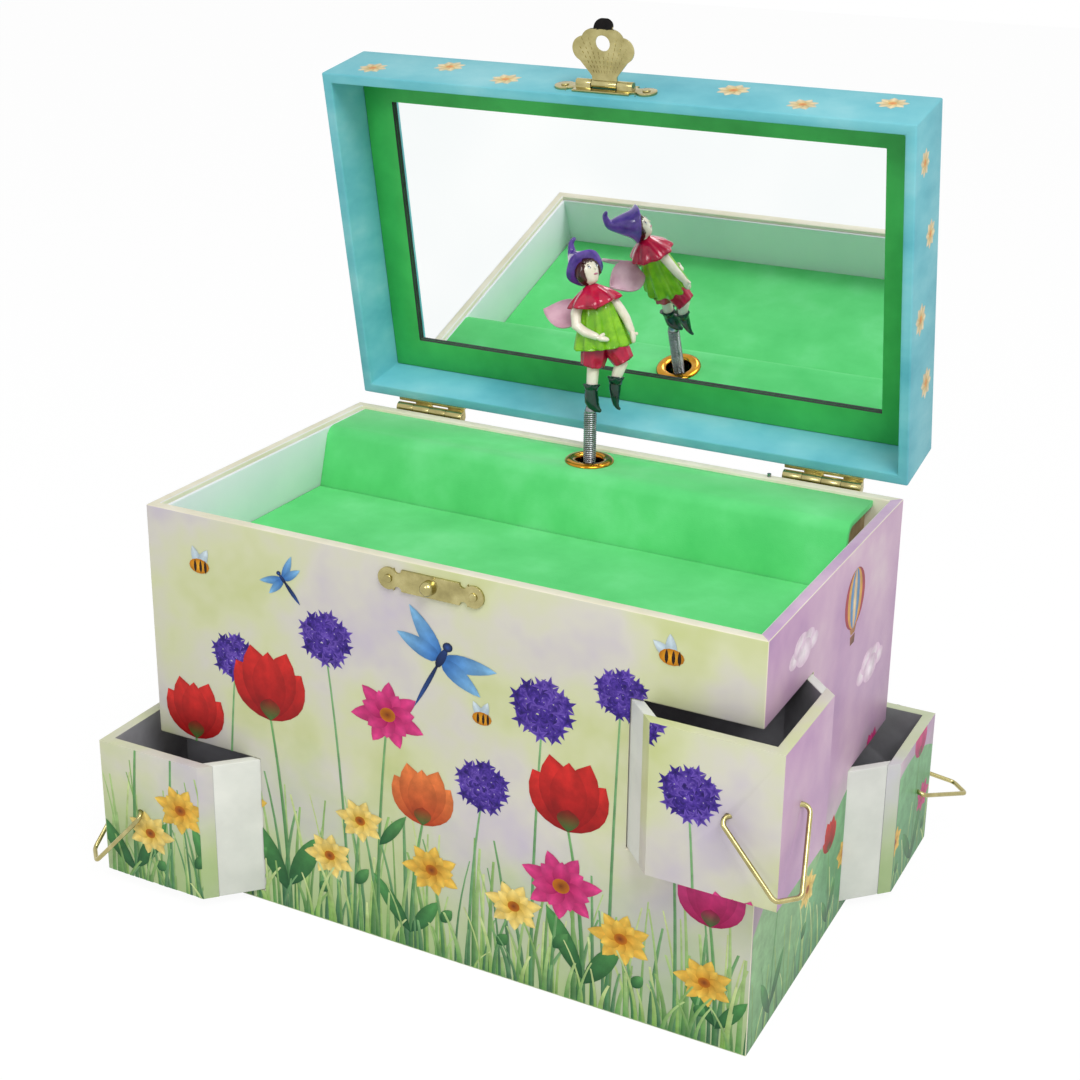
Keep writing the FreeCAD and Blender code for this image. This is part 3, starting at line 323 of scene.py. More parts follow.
def closedBox(node):  # a lid node's corners with the lid shut
    places = [lidShut @ v.co for v in nodes[node].data.vertices]
    return [Vector([edge(p[i] for p in places) for i in range(3)]) for edge in (min, max)]


def openLid(obj):
    obj.data.transform(lidOpen)
    return obj


# carcass: four boards under one wrap of printed paper, with the drawer corners cut out
carcass = dict(edge=0.5 * mm, drawerFace=40 * mm, drawerGap=0.3 * mm, through=10 * mm)


def passageTool(name):
    sx, sy = sides[name]
    span, lap, gap = carcass["drawerFace"], board, carcass["drawerGap"]
    low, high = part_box(name + "_drawer_walls")
    outline = [(-lap, -lap), (span - lap, -lap), (span + lap, lap), (lap, span + lap), (-lap, span - lap)]
    return addOutline("passage", [(sx * (halfWidth - u), sy * (halfDepth - v), low.z - gap) for u, v in outline],
                      (0, 0, high.z - low.z + 2 * gap))


def makeCarcass():
    shell = addBlock("paperedCarcass", (-halfWidth, -halfDepth, 0), (halfWidth, halfDepth, rimHeight))
    cutAway(shell, addBlock("hollow", (-innerX, -innerY, -carcass["through"]),
                            (innerX, innerY, rimHeight + carcass["through"])))
    for name in sides:
        cutAway(shell, passageTool(name))
    roundEdges(shell, carcass["edge"])
    near = 1 * mm
    shell.data.materials.append(creamPaper)
    for sheet, axis, sign, reach in ((frontPaper, 1, -1, halfDepth), (backPaper, 1, 1, halfDepth),
                                     (rightPaper, 0, 1, halfWidth), (leftPaper, 0, -1, halfWidth)):
        paintFaces(shell, sheet, lambda c, n: sign * n[axis] > 0.8 and sign * c[axis] > reach - near)
    paintFaces(shell, paleBluePaper, lambda c, n: n.z > 0.8 and c.x < -innerX and c.z > rimHeight - near)
    paintFaces(shell, pinkPaper, lambda c, n: n.z > 0.8 and c.x > innerX and c.z > rimHeight - near)
    paintFaces(shell, fibreboard, lambda c, n: n.z < -0.8 and c.z < near)
    finishPiece(shell, "carcass", None, ["front_board", "back_board", "side_boards"])


makeCarcass()
print("carcass wrapped")


# lid: a shallow box of the same board, covered with turquoise paper
lid = dict(edge=0.6 * mm, cut=3 * mm, matEdge=0.25 * mm, through=5 * mm)


def makeLid():
    low, high = closedBox("lid_panel")
    foot = closedBox("lid_front_rail")[0].z
    shell = addBlock("paperedLid", (low.x, low.y, foot), high)
    cutAway(shell, addBlock("hollow", (-innerX, -innerY, foot - lid["through"]), (innerX, innerY, low.z)))
    openLid(shell)
    roundEdges(shell, lid["edge"])
    finishPiece(shell, "lid", turquoisePaper,
                ["lid_panel", "lid_front_rail", "lid_back_rail", "lid_side_rails"])
    mat = looseCopy("mirror_mat", "greenMat")
    roundEdges(mat, lid["matEdge"], 2)
    mat.data.materials.append(matPaper)
    low, high = closedBox("mirror_mat")

    def cutEdge(place, normal):  # the card's cut edge round the opening, painted dark as shade along the gap at the mirror
        place = lidShut @ place
        inside = all(low[axis] + lid["cut"] < place[axis] < high[axis] - lid["cut"] for axis in (0, 1))
        return inside and abs((lidShut.to_3x3() @ normal).z) < 0.9

    # the cut edge round the mirror gets the dark painted shade
    paintFaces(mat, cutEdgeShade, cutEdge)
    finishPiece(mat, "lid", None, ["mirror_mat"])
    dress(silvered, "mirror")
    dress(greyCard, "mirror_backing")


makeLid()
print("lid papered")


# tray: flocked floor and ledge, pale lining paper round the walls
tray = dict(pile=0.35 * mm, wave=34 * mm, cuts=24, ridge=3.5 * mm, sheet=2.0 * mm, eyeHole=5.4 * mm,
            floorEdge=0.5 * mm, ledgeEdge=0.3 * mm, linerEdge=0.25 * mm)


def makeTrayFloor():
    texture = bpy.data.textures.new("pileUnevenness", "CLOUDS")
    texture.noise_scale = tray["wave"]
    texture.noise_depth = 2
    floor = addBlock("flockedFloor", *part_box("tray_flock"))
    roundEdges(floor, tray["floorEdge"])
    editWhole(floor, (bpy.ops.mesh.subdivide, dict(number_cuts=tray["cuts"])))
    applyModifier(floor, "DISPLACE", texture=texture, strength=-tray["pile"], mid_level=0, texture_coords="LOCAL")
    pick(floor)
    bpy.ops.object.shade_smooth_by_angle(angle=radians(40))
    finishPiece(floor, "carcass", greenFlock, ["tray_flock"])


def makeLedge():
    low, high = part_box("ledge_cover")
    top = [v.co.y for v in nodes["ledge_cover"].data.vertices if v.co.z > high.z - 0.01 * mm]
    ridge = min(top) - tray["ridge"] * 0.5  # where the two flat faces would meet
    ledge = addShape("flockedLedge", bpy.ops.mesh.primitive_plane_add, size=1)
    for vertex, place in zip(ledge.data.vertices, [(low.x, low.y, low.z), (high.x, low.y, low.z),
                                                   (low.x, ridge, high.z), (high.x, ridge, high.z)]):
        vertex.co = place
    bpy.ops.object.mode_set(mode="EDIT")
    bpy.ops.mesh.select_all(action="DESELECT")
    bpy.ops.object.mode_set(mode="OBJECT")
    for edge in ledge.data.edges:
        edge.select = all(ledge.data.vertices[i].co.z > high.z - 0.1 * mm for i in edge.vertices)
    bpy.ops.object.mode_set(mode="EDIT")
    bpy.ops.mesh.select_mode(type="EDGE")
    bpy.ops.mesh.extrude_edges_move(TRANSFORM_OT_translate={"value": (0, high.y - ridge, 0)})
    editWhole(ledge, facingOut)
    applyModifier(ledge, "BEVEL", width=tray["ridge"], segments=8, limit_method="ANGLE", angle_limit=radians(30))
    if ledge.data.polygons[0].normal.y > 0 and ledge.data.polygons[0].normal.z < 0:
        ledge.data.flip_normals()
    applyModifier(ledge, "SOLIDIFY", thickness=tray["sheet"], offset=-1)
    eye = sum(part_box("eyelet"), Vector()) / 2
    bore = addShape("bore", bpy.ops.mesh.primitive_cylinder_add, vertices=48, radius=tray["eyeHole"], depth=20 * mm,
                    location=(eye.x, eye.y, high.z))
    cutAway(ledge, settle(bore))
    roundEdges(ledge, tray["ledgeEdge"], 2, 50)
    finishPiece(ledge, "carcass", greenFlock, ["ledge_cover"])


def makeTray():
    makeTrayFloor()
    makeLedge()
    liners = looseCopy("tray_liners", "paperedLiners")
    roundEdges(liners, tray["linerEdge"], 2)
    finishPiece(liners, "carcass", paleBluePaper, ["tray_liners"])
    dress(fibreboard, "tray_floor", "ledge_ribs", "middle_shelf", "bottom_board", "drawer_guides")


makeTray()
print("tray lined")


# drawers: printed corner faces, off-white walls, and grey inside, the lining's own grey-white deepened to mid grey as
# painted shade
drawer = dict(edge=0.35 * mm)


def makeDrawer(name):
    sx, sy = sides[name]
    out = drawerOut[name]
    faceX, faceY = sx * (halfWidth + out), sy * (halfDepth + out)
    near = 0.6 * mm
    faces = roundEdges(looseCopy(name + "_drawer_faces", name + "PrintedFace"), drawer["edge"], 3)
    frontSheet = frontPaper if sy < 0 else backPaper
    sideSheet = rightPaper if sx > 0 else leftPaper
    faces.data.materials.append(frontSheet)  # the printed paper turns over the rim and the ends
    # faces turned into the drawer get the grey lining with painted shade
    paintFaces(faces, drawerLiningShaded, lambda c, n: sx * n.x < -0.8 or sy * n.y < -0.8)
    paintFaces(faces, frontSheet, lambda c, n: sy * n.y > 0.8 and abs(c.y - faceY) < near)
    paintFaces(faces, sideSheet, lambda c, n: sx * n.x > 0.8 and abs(c.x - faceX) < near)
    finishPiece(faces, name + "_drawer", None, [name + "_drawer_faces"])
    walls = roundEdges(looseCopy(name + "_drawer_walls", name + "PaperedWalls"), drawer["edge"], 2)
    walls.data.materials.append(drawerPaper)
    low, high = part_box(name + "_drawer_walls")
    middle = (low + high) / 2
    outward = Vector((sx, sy, 0)).normalized()
    across = Vector((sx, -sy, 0)).normalized()

    def facesIn(c, n):
        away = (c - middle).dot(across)
        return abs(n.z) < 0.3 and (n.dot(outward) > 0.7 or n.dot(across) * away < -0.5 * abs(away))

    # the walls' inner faces, and below the drawer floor, get the grey lining with painted shade
    paintFaces(walls, drawerLiningShaded, facesIn)
    finishPiece(walls, name + "_drawer", None, [name + "_drawer_walls"])
    dress(drawerLiningShaded, name + "_drawer_floor")
    dress(paleBrass, name + "_bail")


for name in sides:
    makeDrawer(name)
print("drawers papered")


# printed meadow: flat shapes of coloured ink on the papered faces, laid in mm from each panel's lower left corner
panels = {"front": ("front_left", "front_right"), "right": ("front_right", "rear_right"),
          "back": ("rear_right", "rear_left"), "left": ("rear_left", "front_left")}
meadow = dict(window=39.58 * mm, reveal=0.15 * mm, film=0.01 * mm, layer=0.00016 * mm, strength=1.28, root=-1,
              trimEnds=0.4 * mm, trimFoot=0.6 * mm, trimRim=0.5 * mm)
ink = dict(points=[], faces=[], colours=[], layer=0)


def panelFrame(name):  # a panel's lower left corner, the way along it, the way out of it, and its width
    (ax, ay), (bx, by) = (sides[corner] for corner in panels[name])
    start, way = Vector((ax * halfWidth, ay * halfDepth, 0)), Vector((bx - ax, by - ay, 0)) / 2
    return start, way, Vector((way.y, -way.x, 0)), 2 * (halfWidth if way.x else halfDepth)


def inkStrip(rows):  # rows of points with their colours, joined across: [[(u, v, colour), ...], ...]
    ink["layer"] += 1
    first, wide = len(ink["points"]), len(rows[0])
    for row in rows:
        for u, v, colour in row:
            ink["points"].append((u, v, ink["layer"]))
            ink["colours"].append([channel ** meadow["strength"] for channel in colour])  # laid on thick, so deeper
    for r in range(len(rows) - 1):
        for c in range(wide - 1):
            a = first + r * wide + c
            ink["faces"].append((a, a + 1, a + wide + 1, a + wide))


def blend(first, second, share):
    return [a + (b - a) * share for a, b in zip(first, second)]


def petal(u, v, length, width, angle, low, high, fat=0.55, rows=7):  # a leaf or petal, darker along its edges
    low, high = linear(low), linear(high)
    sine, cosine = sin(radians(angle)), cos(radians(angle))
    strip = []
    for row in range(rows + 1):
        share = row / rows
        half = width / 2 * sin(pi * share ** (0.5 / fat)) ** 0.75 if 0 < row < rows else 0.02
        colour = blend(low, high, share)
        edge = blend(colour, [0, 0, 0, 1], 0.2)
        along = share * length
        strip.append([(u + along * sine + side * half * cosine, v + along * cosine - side * half * sine,
                       edge if side else colour) for side in (-1, 0, 1)])
    inkStrip(strip)


def stalk(u, height, bend, width, low, high, rows=8):  # a stem or blade that leans as it rises from the foot
    low, high = linear(low), linear(high)
    strip = []
    for row in range(rows + 1):
        share = row / rows
        middle, v = u + bend * share * share, meadow["root"] + height * share
        half = width / 2 * (1 - 0.55 * share)
        colour = blend(low, high, share)
        strip.append([(middle - half, v, colour), (middle + half, v, blend(colour, [1, 1, 0.8, 1], 0.12))])
    inkStrip(strip)
    return u + bend, meadow["root"] + height


def spotOf(u, v, wide, tall, centre, rim, turns=14):
    centre, rim = linear(centre), linear(rim)
    angles = [2 * pi * k / turns for k in range(turns + 1)]
    inkStrip([[(u, v, centre)] * len(angles), [(u + wide * cos(a), v + tall * sin(a), rim) for a in angles]])


grassTones = [("#3f7f45", "#9cc078"), ("#5c9a50", "#b9d193"), ("#2f6f4d", "#7fb079"), ("#7fae55", "#d0dca4")]
alliumTones = [("#3a2480", "#6a4fb0"), ("#4b2f94", "#8268c2"), ("#2f1d6b", "#5a3fa4")]
red, pink, coral = ("#a3141f", "#e2453f"), ("#b81468", "#ea5fa2"), ("#c2502a", "#f39a5e")
yellow, lemon = ("#d99a1f", "#f6d873"), ("#e3b93a", "#fbe9a0")


def grassTuft(u, count, low, high, rng):
    for _ in range(count):
        green = rng.choice(grassTones)
        stalk(u + rng.uniform(-4, 4), rng.uniform(low, high), rng.uniform(-7, 7), rng.uniform(0.9, 2.0), *green, rows=6)


def leafPair(u, v, size, rng):
    for way in (-1, 1):
        petal(u, v + rng.uniform(-2, 2), size * rng.uniform(0.8, 1.2), size * 0.26, way * rng.uniform(24, 40),
              "#2f6b45", "#6fae6c", 0.5)


def tulip(u, height, bend, size, dark, light, rng):
    x, y = stalk(u, height, bend, 1.7, "#3d7d4a", "#79b172")
    leafPair(u + bend * 0.04, height * 0.12, height * 0.42, rng)
    for angle, share in ((-34, 0.86), (34, 0.86), (-15, 1.0), (16, 1.0), (0, 0.92)):
        petal(x, y - 1, size * share, size * 0.5, angle, dark, light, 0.48)
    petal(x, y - 1, size * 0.3, size * 0.3, 0, "#4d8a4d", dark, 0.4)


def blossom(u, height, bend, size, dark, light, rng):
    x, y = stalk(u, height, bend, 1.4, "#3d7d4a", "#86b87c")
    petal(u + bend * 0.2, height * 0.42, height * 0.2, 4, 38, "#2f6b45", "#78b372")
    turn, count, squash = rng.uniform(0, 40), 7, 0.8
    for ring, share in ((0, 1.0), (1, 0.72)):
        for k in range(count):
            angle = turn + ring * 180 / count + 360 * k / count
            reach = size * share * (1 - (1 - squash) * abs(cos(radians(angle))))
            petal(x, y, reach, size * 2.4 / count + 1.2, angle, dark, light, 0.62)
    spotOf(x, y, size * 0.2, size * 0.17, "#8a4a16", "#c9831f")


def pompom(u, height, bend, size, rng):  # a round allium head of many small florets
    x, y = stalk(u, height, bend, 1.3, "#4a8a5a", "#8cbc86")
    florets, points = 46, 11
    for k in range(florets):
        angle, reach = k * 137.5, size * sqrt((k + 1) / florets) * 0.75
        dark, light = (linear(tone) for tone in rng.choice(alliumTones))
        heartU = x + reach * sin(radians(angle))
        heartV = y + size * 0.4 + reach * cos(radians(angle))
        rays = [(angle + pi * n / 5, (0.9, 2.3)[n % 2] * size / 9) for n in range(points)]
        inkStrip([[(heartU, heartV, dark)] * points,
                  [(heartU + r * cos(turn), heartV + r * sin(turn), light) for turn, r in rays]])


def dragonfly(u, v, size, turn):
    aheadU, aheadV = size * sin(radians(turn)), size * cos(radians(turn))
    for angle, share in ((62, 1.0), (96, 0.86), (-62, 1.0), (-96, 0.86)):
        petal(u, v, size * share, size * 0.3, angle + turn, "#3f7fc4", "#9fd0ef", 0.7)
    petal(u, v, -size * 1.05, 1.5, turn, "#20304f", "#4a6fb0", 0.5)
    petal(u - 0.18 * aheadU, v - 0.18 * aheadV, size * 0.45, size * 0.15, turn, "#1f2c4a", "#3d5f9c", 0.6)
    spotOf(u + 0.27 * aheadU, v + 0.27 * aheadV, size * 0.09, size * 0.08, "#4a6fb0", "#1f2c4a")


def bee(u, v, size, turn):
    for angle in (turn - 40, turn + 10):
        petal(u, v, size, size * 0.5, angle, "#b9cfdb", "#e3eef2", 0.7)
    spotOf(u, v, size * 0.55, size * 0.36, "#f0bb3a", "#c98a1c")
    for step in (-0.22, 0.08, 0.34):
        petal(u + size * step, v - size * 0.32, size * 0.64, size * 0.16, 0, "#3a2617", "#51351f", 0.6, rows=4)


def cloud(u, v, size, light, shade):
    for step, rise, reach in ((-1.0, 0, 0.55), (-0.35, 0.3, 0.75), (0.4, 0.22, 0.7), (1.0, 0, 0.5), (0, -0.1, 0.8)):
        spotOf(u + size * step, v + size * rise, size * reach, size * reach * 0.62, light, shade, 20)


def hill(u, v, wide, tall, low, high):
    inkStrip([[(u + wide * share, v + tall * sin(pi * share) ** 0.8, linear(high)),
               (u + wide * share, meadow["root"], linear(low))] for share in (k / 24 for k in range(25))])


def balloon(u, v, size):
    def panel(*rows):  # rows of (half width, drop, left colour, right colour)
        inkStrip([[(u - half, v - size * drop, linear(left)), (u + half, v - size * drop, linear(right))]
                  for half, drop, left, right in rows])

    panel((size * 0.62, 0.5, "#b04050", "#8f3040"), (size * 0.2, 1.25, "#c9a05a", "#a87a3f"))
    for share, centre, rim in ((1.0, "#e0606a", "#a83545"), (0.72, "#f4d68a", "#dba94a"),
                               (0.44, "#8fc0dd", "#5a90c0"), (0.16, "#f0e2c0", "#d9b98a")):
        spotOf(u, v, size * share, size * 1.05, centre, rim, 28)
    panel((2.0, 1.62, "#8a5a33", "#6b4326"), (2.4, 1.3, "#a87342", "#8a5a33"))


def inkSheet(name, start, way, up, out):  # the shapes laid so far become one mesh on a face
    mesh = bpy.data.meshes.new(name)
    mesh.from_pydata([start + way * (u * mm) + up * (v * mm) + out * (meadow["film"] + layer * meadow["layer"])
                      for u, v, layer in ink["points"]], [], ink["faces"])
    attribute = mesh.color_attributes.new("ink", "FLOAT_COLOR", "POINT")
    for number, colour in enumerate(ink["colours"]):
        attribute.data[number].color = colour
    obj = bpy.data.objects.new(name, mesh)
    bpy.context.scene.collection.objects.link(obj)
    ink.update(points=[], faces=[], colours=[], layer=0)
    return obj


def printedInk():
    # water-based ink that dries uneven: the laid colour, thinned in soft patches and darker where it pools
    material, shader = newMaterial("watercolourInk", Roughness=0.42, Specular_IOR_Level=0.2)
    laid = addNode(material, "VertexColor", {"layer_name": "ink"})
    place = addNode(material, "TexCoord").outputs["Object"]
    pools = addNode(material, "TexNoise", {"Scale": 1 / (4.5 * mm), "Detail": 5.0, "Roughness": 0.6}, {"Vector": place})
    depth = addNode(material, "MapRange", {"From Min": 0.3, "From Max": 0.7, "To Min": 0.8, "To Max": 1.22},
                    {"Value": pools})
    wash = addNode(material, "Mix", {"data_type": "RGBA", "blend_type": "MULTIPLY", 0: 1.0}, {6: laid, 7: depth})
    tooth = addNode(material, "TexNoise", {"Scale": 1 / (0.9 * mm), "Detail": 2.0}, {"Vector": place})
    bump = addNode(material, "Bump", {"Strength": 0.5, "Distance": 0.012 * mm}, {"Height": tooth})
    addNode(material, shader, {}, {"Base Color": wash.outputs[2], "Normal": bump})
    return material


watercolour = printedInk()


def layOnPanel(name):
    # the sheet is trimmed to its panel and cut at the drawer windows, and those pieces go out with the drawers
    start, way, out, wide = panelFrame(name)
    up, opening = Vector((0, 0, 1)), carcass["drawerGap"] + meadow["reveal"]
    obj = inkSheet(name + "Print", start, way, up, out)
    pick(obj)
    bpy.ops.object.mode_set(mode="EDIT")

    def cutAlong(place, normal, **settings):
        bpy.ops.mesh.select_all(action="SELECT")
        bpy.ops.mesh.bisect(plane_co=place, plane_no=normal, **settings)

    for place, normal in ((start + way * meadow["trimEnds"], -way), (start + way * (wide - meadow["trimEnds"]), way),
                          (up * meadow["trimFoot"], -up), (up * (rimHeight - meadow["trimRim"]), up)):
        cutAlong(place, normal, clear_outer=True)
    pieces = []
    for corner, near in zip(panels[name], (True, False)):
        low, high = (edge.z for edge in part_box(corner + "_drawer_faces"))

        def border(gap):
            return meadow["window"] + gap if near else wide - meadow["window"] - gap

        def choose(gap):
            bpy.ops.object.mode_set(mode="OBJECT")
            for face in obj.data.polygons:
                u = (face.center - start).dot(way)
                face.select = low - gap < face.center.z < high + gap and (u < border(gap)) == near
            chosen = any(face.select for face in obj.data.polygons)
            bpy.ops.object.mode_set(mode="EDIT")
            bpy.ops.mesh.select_mode(type="FACE")
            return chosen

        for gap in (opening, 0):  # first the opening in the board, then the drawer's own face
            cutAlong(start + way * border(gap), way)
            cutAlong(up * (low - gap), up)
            cutAlong(up * (high + gap), up)
        if choose(0):
            known = set(bpy.data.objects)
            bpy.ops.mesh.separate(type="SELECTED")
            pieces.append((corner, (set(bpy.data.objects) - known).pop()))
        if choose(opening):
            bpy.ops.mesh.delete(type="FACE")
    bpy.ops.object.mode_set(mode="OBJECT")
    finishPiece(obj, "carcass", watercolour)
    for corner, piece in pieces:
        piece.name = corner + name.capitalize() + "Print"
        side, end = sides[corner]
        piece.location = (side * drawerOut[corner], end * drawerOut[corner], 0)
        settle(piece)
        finishPiece(piece, corner + "_drawer", watercolour)


def plantRow(kind, rng, *plants):  # plants are (place, height, bend, size, tones)
    for *place, tones in plants:
        kind(*place, *tones, rng)


def printFront():
    rng = random.Random(11)
    for k in range(24):
        grassTuft(5 + 8.8 * k, 6, 14, 50, rng)
    for place in ((27, 84, 5, 10), (73, 98, -6, 11), (117, 62, 5, 10.5), (139, 92, 3, 12), (187, 84, -4, 10.5),
                  (165, 104, 2, 9.5)):
        pompom(*place, rng)
    plantRow(tulip, rng, (12, 56, 3, 22, red), (50, 70, -5, 26, red), (96, 48, 5, 21, coral), (157, 60, -6, 25, red),
             (200, 42, -3, 20, pink))
    plantRow(blossom, rng, (38, 36, -6, 11, yellow), (61, 26, 5, 10, lemon), (84, 82, 5, 14, pink),
             (108, 32, -4, 11, yellow), (126, 28, 7, 10.5, lemon), (146, 40, 3, 14.5, pink), (174, 28, -5, 11, yellow),
             (22, 24, -3, 10, lemon), (193, 22, 3, 10, yellow), (75, 42, 3, 9.5, lemon))
    for k in range(21):
        grassTuft(8 + 9.8 * k, 3, 8, 24, rng)
    dragonfly(108, 104, 19, 28)
    dragonfly(52, 118, 9, -40)
    for place in ((20, 116, 7, 20), (182, 122, 7, -15), (122, 88, 6, 10)):
        bee(*place)
    layOnPanel("front")


def printRight():
    rng = random.Random(23)
    cloud(30, 118, 8, "#f6eef2", "#e6cfe0")
    cloud(98, 84, 9, "#f6eef2", "#e3c9dc")
    balloon(76, 116, 9.5)
    hill(-12, 26, 80, 26, "#7fae7c", "#a9cda0")
    hill(40, 18, 110, 30, "#5f9c6d", "#93c295")
    for k in range(14):
        grassTuft(4 + 9 * k, 4, 10, 30, rng)
    plantRow(tulip, rng, (18, 40, 3, 13, coral), (70, 34, -3, 12, red), (104, 46, 2, 13, pink))
    plantRow(blossom, rng, (44, 30, 4, 8, lemon), (86, 24, -3, 7, yellow), (116, 26, -2, 7.5, pink))
    layOnPanel("right")


def printMeadow(name, seed):  # a plainer meadow for the two faces away from the front
    rng = random.Random(seed)
    wide = panelFrame(name)[3] / mm
    for k in range(int(wide / 9)):
        grassTuft(5 + 9 * k, 5, 12, 40, rng)
    for k in range(int(wide / 26)):
        u = 14 + 26 * k
        if k % 3 == 0:
            tulip(u, rng.uniform(48, 84), rng.uniform(-5, 5), rng.uniform(13, 18), *rng.choice([red, pink, coral]), rng)
        elif k % 3 == 1:
            pompom(u, rng.uniform(60, 96), rng.uniform(-4, 4), rng.uniform(7, 9), rng)
        else:
            blossom(u, rng.uniform(44, 80), rng.uniform(-4, 4), rng.uniform(9, 11), *rng.choice([pink, yellow]), rng)
        blossom(u + 12, rng.uniform(22, 36), rng.uniform(-5, 5), 8, *rng.choice([yellow, lemon]), rng)
    dragonfly(wide * 0.62, 112, 12, 24)
    bee(wide * 0.3, 116, 6, 12)
    layOnPanel(name)


def printLid():  # small pale blossoms scattered in a staggered row on each outer face of the lid
    low, high = closedBox("lid_panel")
    low.z = closedBox("lid_front_rail")[0].z
    span = (high - low) / mm
    rng = random.Random(5)
    faces = {"lidFront": ((low.x, low.y, low.z), (1, 0, 0), (0, 0, 1)),
             "lidRight": ((high.x, low.y, low.z), (0, 1, 0), (0, 0, 1)),
             "lidLeft": ((low.x, high.y, low.z), (0, -1, 0), (0, 0, 1)),
             "lidTop": ((low.x, low.y, high.z), (1, 0, 0), (0, 1, 0))}
    for name, places in faces.items():
        start, way, up = (Vector(place) for place in places)
        wide, deep = abs(span.dot(way)), span.dot(up)
        rows = max(1, round(deep / 30))
        for row in range(rows):
            for k in range(int(wide / 26)):
                u, v = 15 + 26 * k + 9 * (row % 2), deep * (row + 0.5) / rows + (4 if k % 2 else -4)
                size, turn = rng.uniform(4.6, 5.8), rng.uniform(0, 60)
                if u > wide - 7 or (name == "lidFront" and abs(u - wide / 2) < 24):
                    continue
                for n in range(8):
                    petal(u, v, size, size * 0.62, turn + 45 * n, "#e0c57a", "#f0e7cf", 0.62, rows=5)
                spotOf(u, v, size * 0.26, size * 0.26, "#d98f5a", "#e6b56a", 10)
        sheet = openLid(inkSheet(name + "Print", start, way, up, way.cross(up)))
        finishPiece(sheet, "lid", watercolour)


printLid()
printFront()
printRight()
printMeadow("left", 31)
printMeadow("back", 47)
print("meadow printed")


# pixie on its coil spring: places are across to its left hand, toward the viewer and up from its soles, in mm
springLow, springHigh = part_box("figure_spring")
spindleX, spindleY = (springLow.x + springHigh.x) / 2, (springLow.y + springHigh.y) / 2
pixie = dict(turn=radians(26.3), lean=radians(9), rise=0.95, sides=28)


def shift(across, toward, height):  # a move in the same three directions, square to the box
    sine, cosine = sin(pixie["turn"]), cos(pixie["turn"])
    return Vector((across * cosine + toward * sine, across * sine - toward * cosine, height)) * mm


def spot(across, toward, height):
    height *= pixie["rise"]
    toward -= height * tan(pixie["lean"])
    return Vector((spindleX, spindleY, springHigh.z)) + shift(across, toward, height)


def heading(across, toward, height):
    return shift(across, toward, height).normalized()


def loft(name, rings, ripples=0, deep=None, sides=None):
    # a grid rolled into a tube: each ring is (place, deep radius, wide radius, ripple depth), in mm
    sides = sides or pixie["sides"]
    obj = addShape(name, bpy.ops.mesh.primitive_grid_add, x_subdivisions=sides, y_subdivisions=len(rings) - 1, size=1)
    deep = deep or heading(0, 1, 0)
    places = [ring[0] for ring in rings]
    for row, (place, deepRadius, wideRadius, ripple) in enumerate(rings):
        along = (places[min(row + 1, len(rings) - 1)] - places[max(row - 1, 0)]).normalized()
        first = (deep - along * deep.dot(along)).normalized()
        second = along.cross(first)
        for column in range(sides + 1):
            angle = 2 * pi * column / sides
            swell = 1 + ripple * cos(ripples * angle + 0.6)
            offset = first * (deepRadius * cos(angle)) + second * (wideRadius * sin(angle))
            obj.data.vertices[row * (sides + 1) + column].co = place + offset * swell * mm
    editWhole(obj, (bpy.ops.mesh.remove_doubles, dict(threshold=0.004 * mm)), facingOut)
    bpy.ops.object.shade_smooth()
    return settle(obj)


def limb(name, stations, flat=1.0):  # a round limb through (across, toward, height, radius) with rounded ends
    rings = [(spot(a, t, h), r, r * flat, 0) for a, t, h, r in stations]
    ends = []
    for (place, radius, *_), beside in ((rings[0], rings[1][0]), (rings[-1], rings[-2][0])):
        away = (place - beside).normalized()
        cap = [(place + away * radius * sin(turn) * mm, radius * cos(turn), radius * flat * cos(turn), 0)
               for turn in map(radians, (28, 55, 78))]
        ends.append(cap + [(place + away * radius * mm, 0, 0, 0)])
    return loft(name, ends[0][::-1] + rings + ends[1])


def drape(name, foot, top, stations, ripples):  # a skirted form along one axis: (share, deep, wide, ripple)
    foot, top = spot(*foot), spot(*top)
    return loft(name, [(foot.lerp(top, share), *radii) for share, *radii in stations], ripples, sides=72)


def smoothPiece(obj):
    return applyModifier(obj, "SUBSURF", levels=1, render_levels=1)


# glossy enamel on a casting: a thick clear coat over colour that varies a little in tone
def enamel(name, dark, light):
    return mottled(name, (dark, light), 3.5, 1.2, 0.03, 0.2, Specular_IOR_Level=0.12,
                   Coat_Weight=0.7, Coat_Roughness=0.05)


skinPaint = enamel("ivoryEnamel", "#e6dac4", "#f2ead9")
crimsonPaint = enamel("crimsonEnamel", "#a80c38", "#c4143f")
limePaint = enamel("limeEnamel", "#6cae12", "#90cc22")
purplePaint = enamel("violetEnamel", "#4b3389", "#6a4ba8")
bootPaint = enamel("darkGreenEnamel", "#06281d", "#0c3f2f")
hairPaint = enamel("brownEnamel", "#32120f", "#4a1d1a")
wingPaint = mottled("pinkEnamelledSheet", ("#cb93a8", "#dfb1c0"), 6, 0.9, 0.02, 0.38)
eyePaint = enamel("blueBlackEnamel", "#26304a", "#323d5c")
lipPaint = enamel("roseEnamel", "#b96a80", "#cb8296")
whitePaint = enamel("whiteEnamel", "#e9ecef", "#f5f6f7")


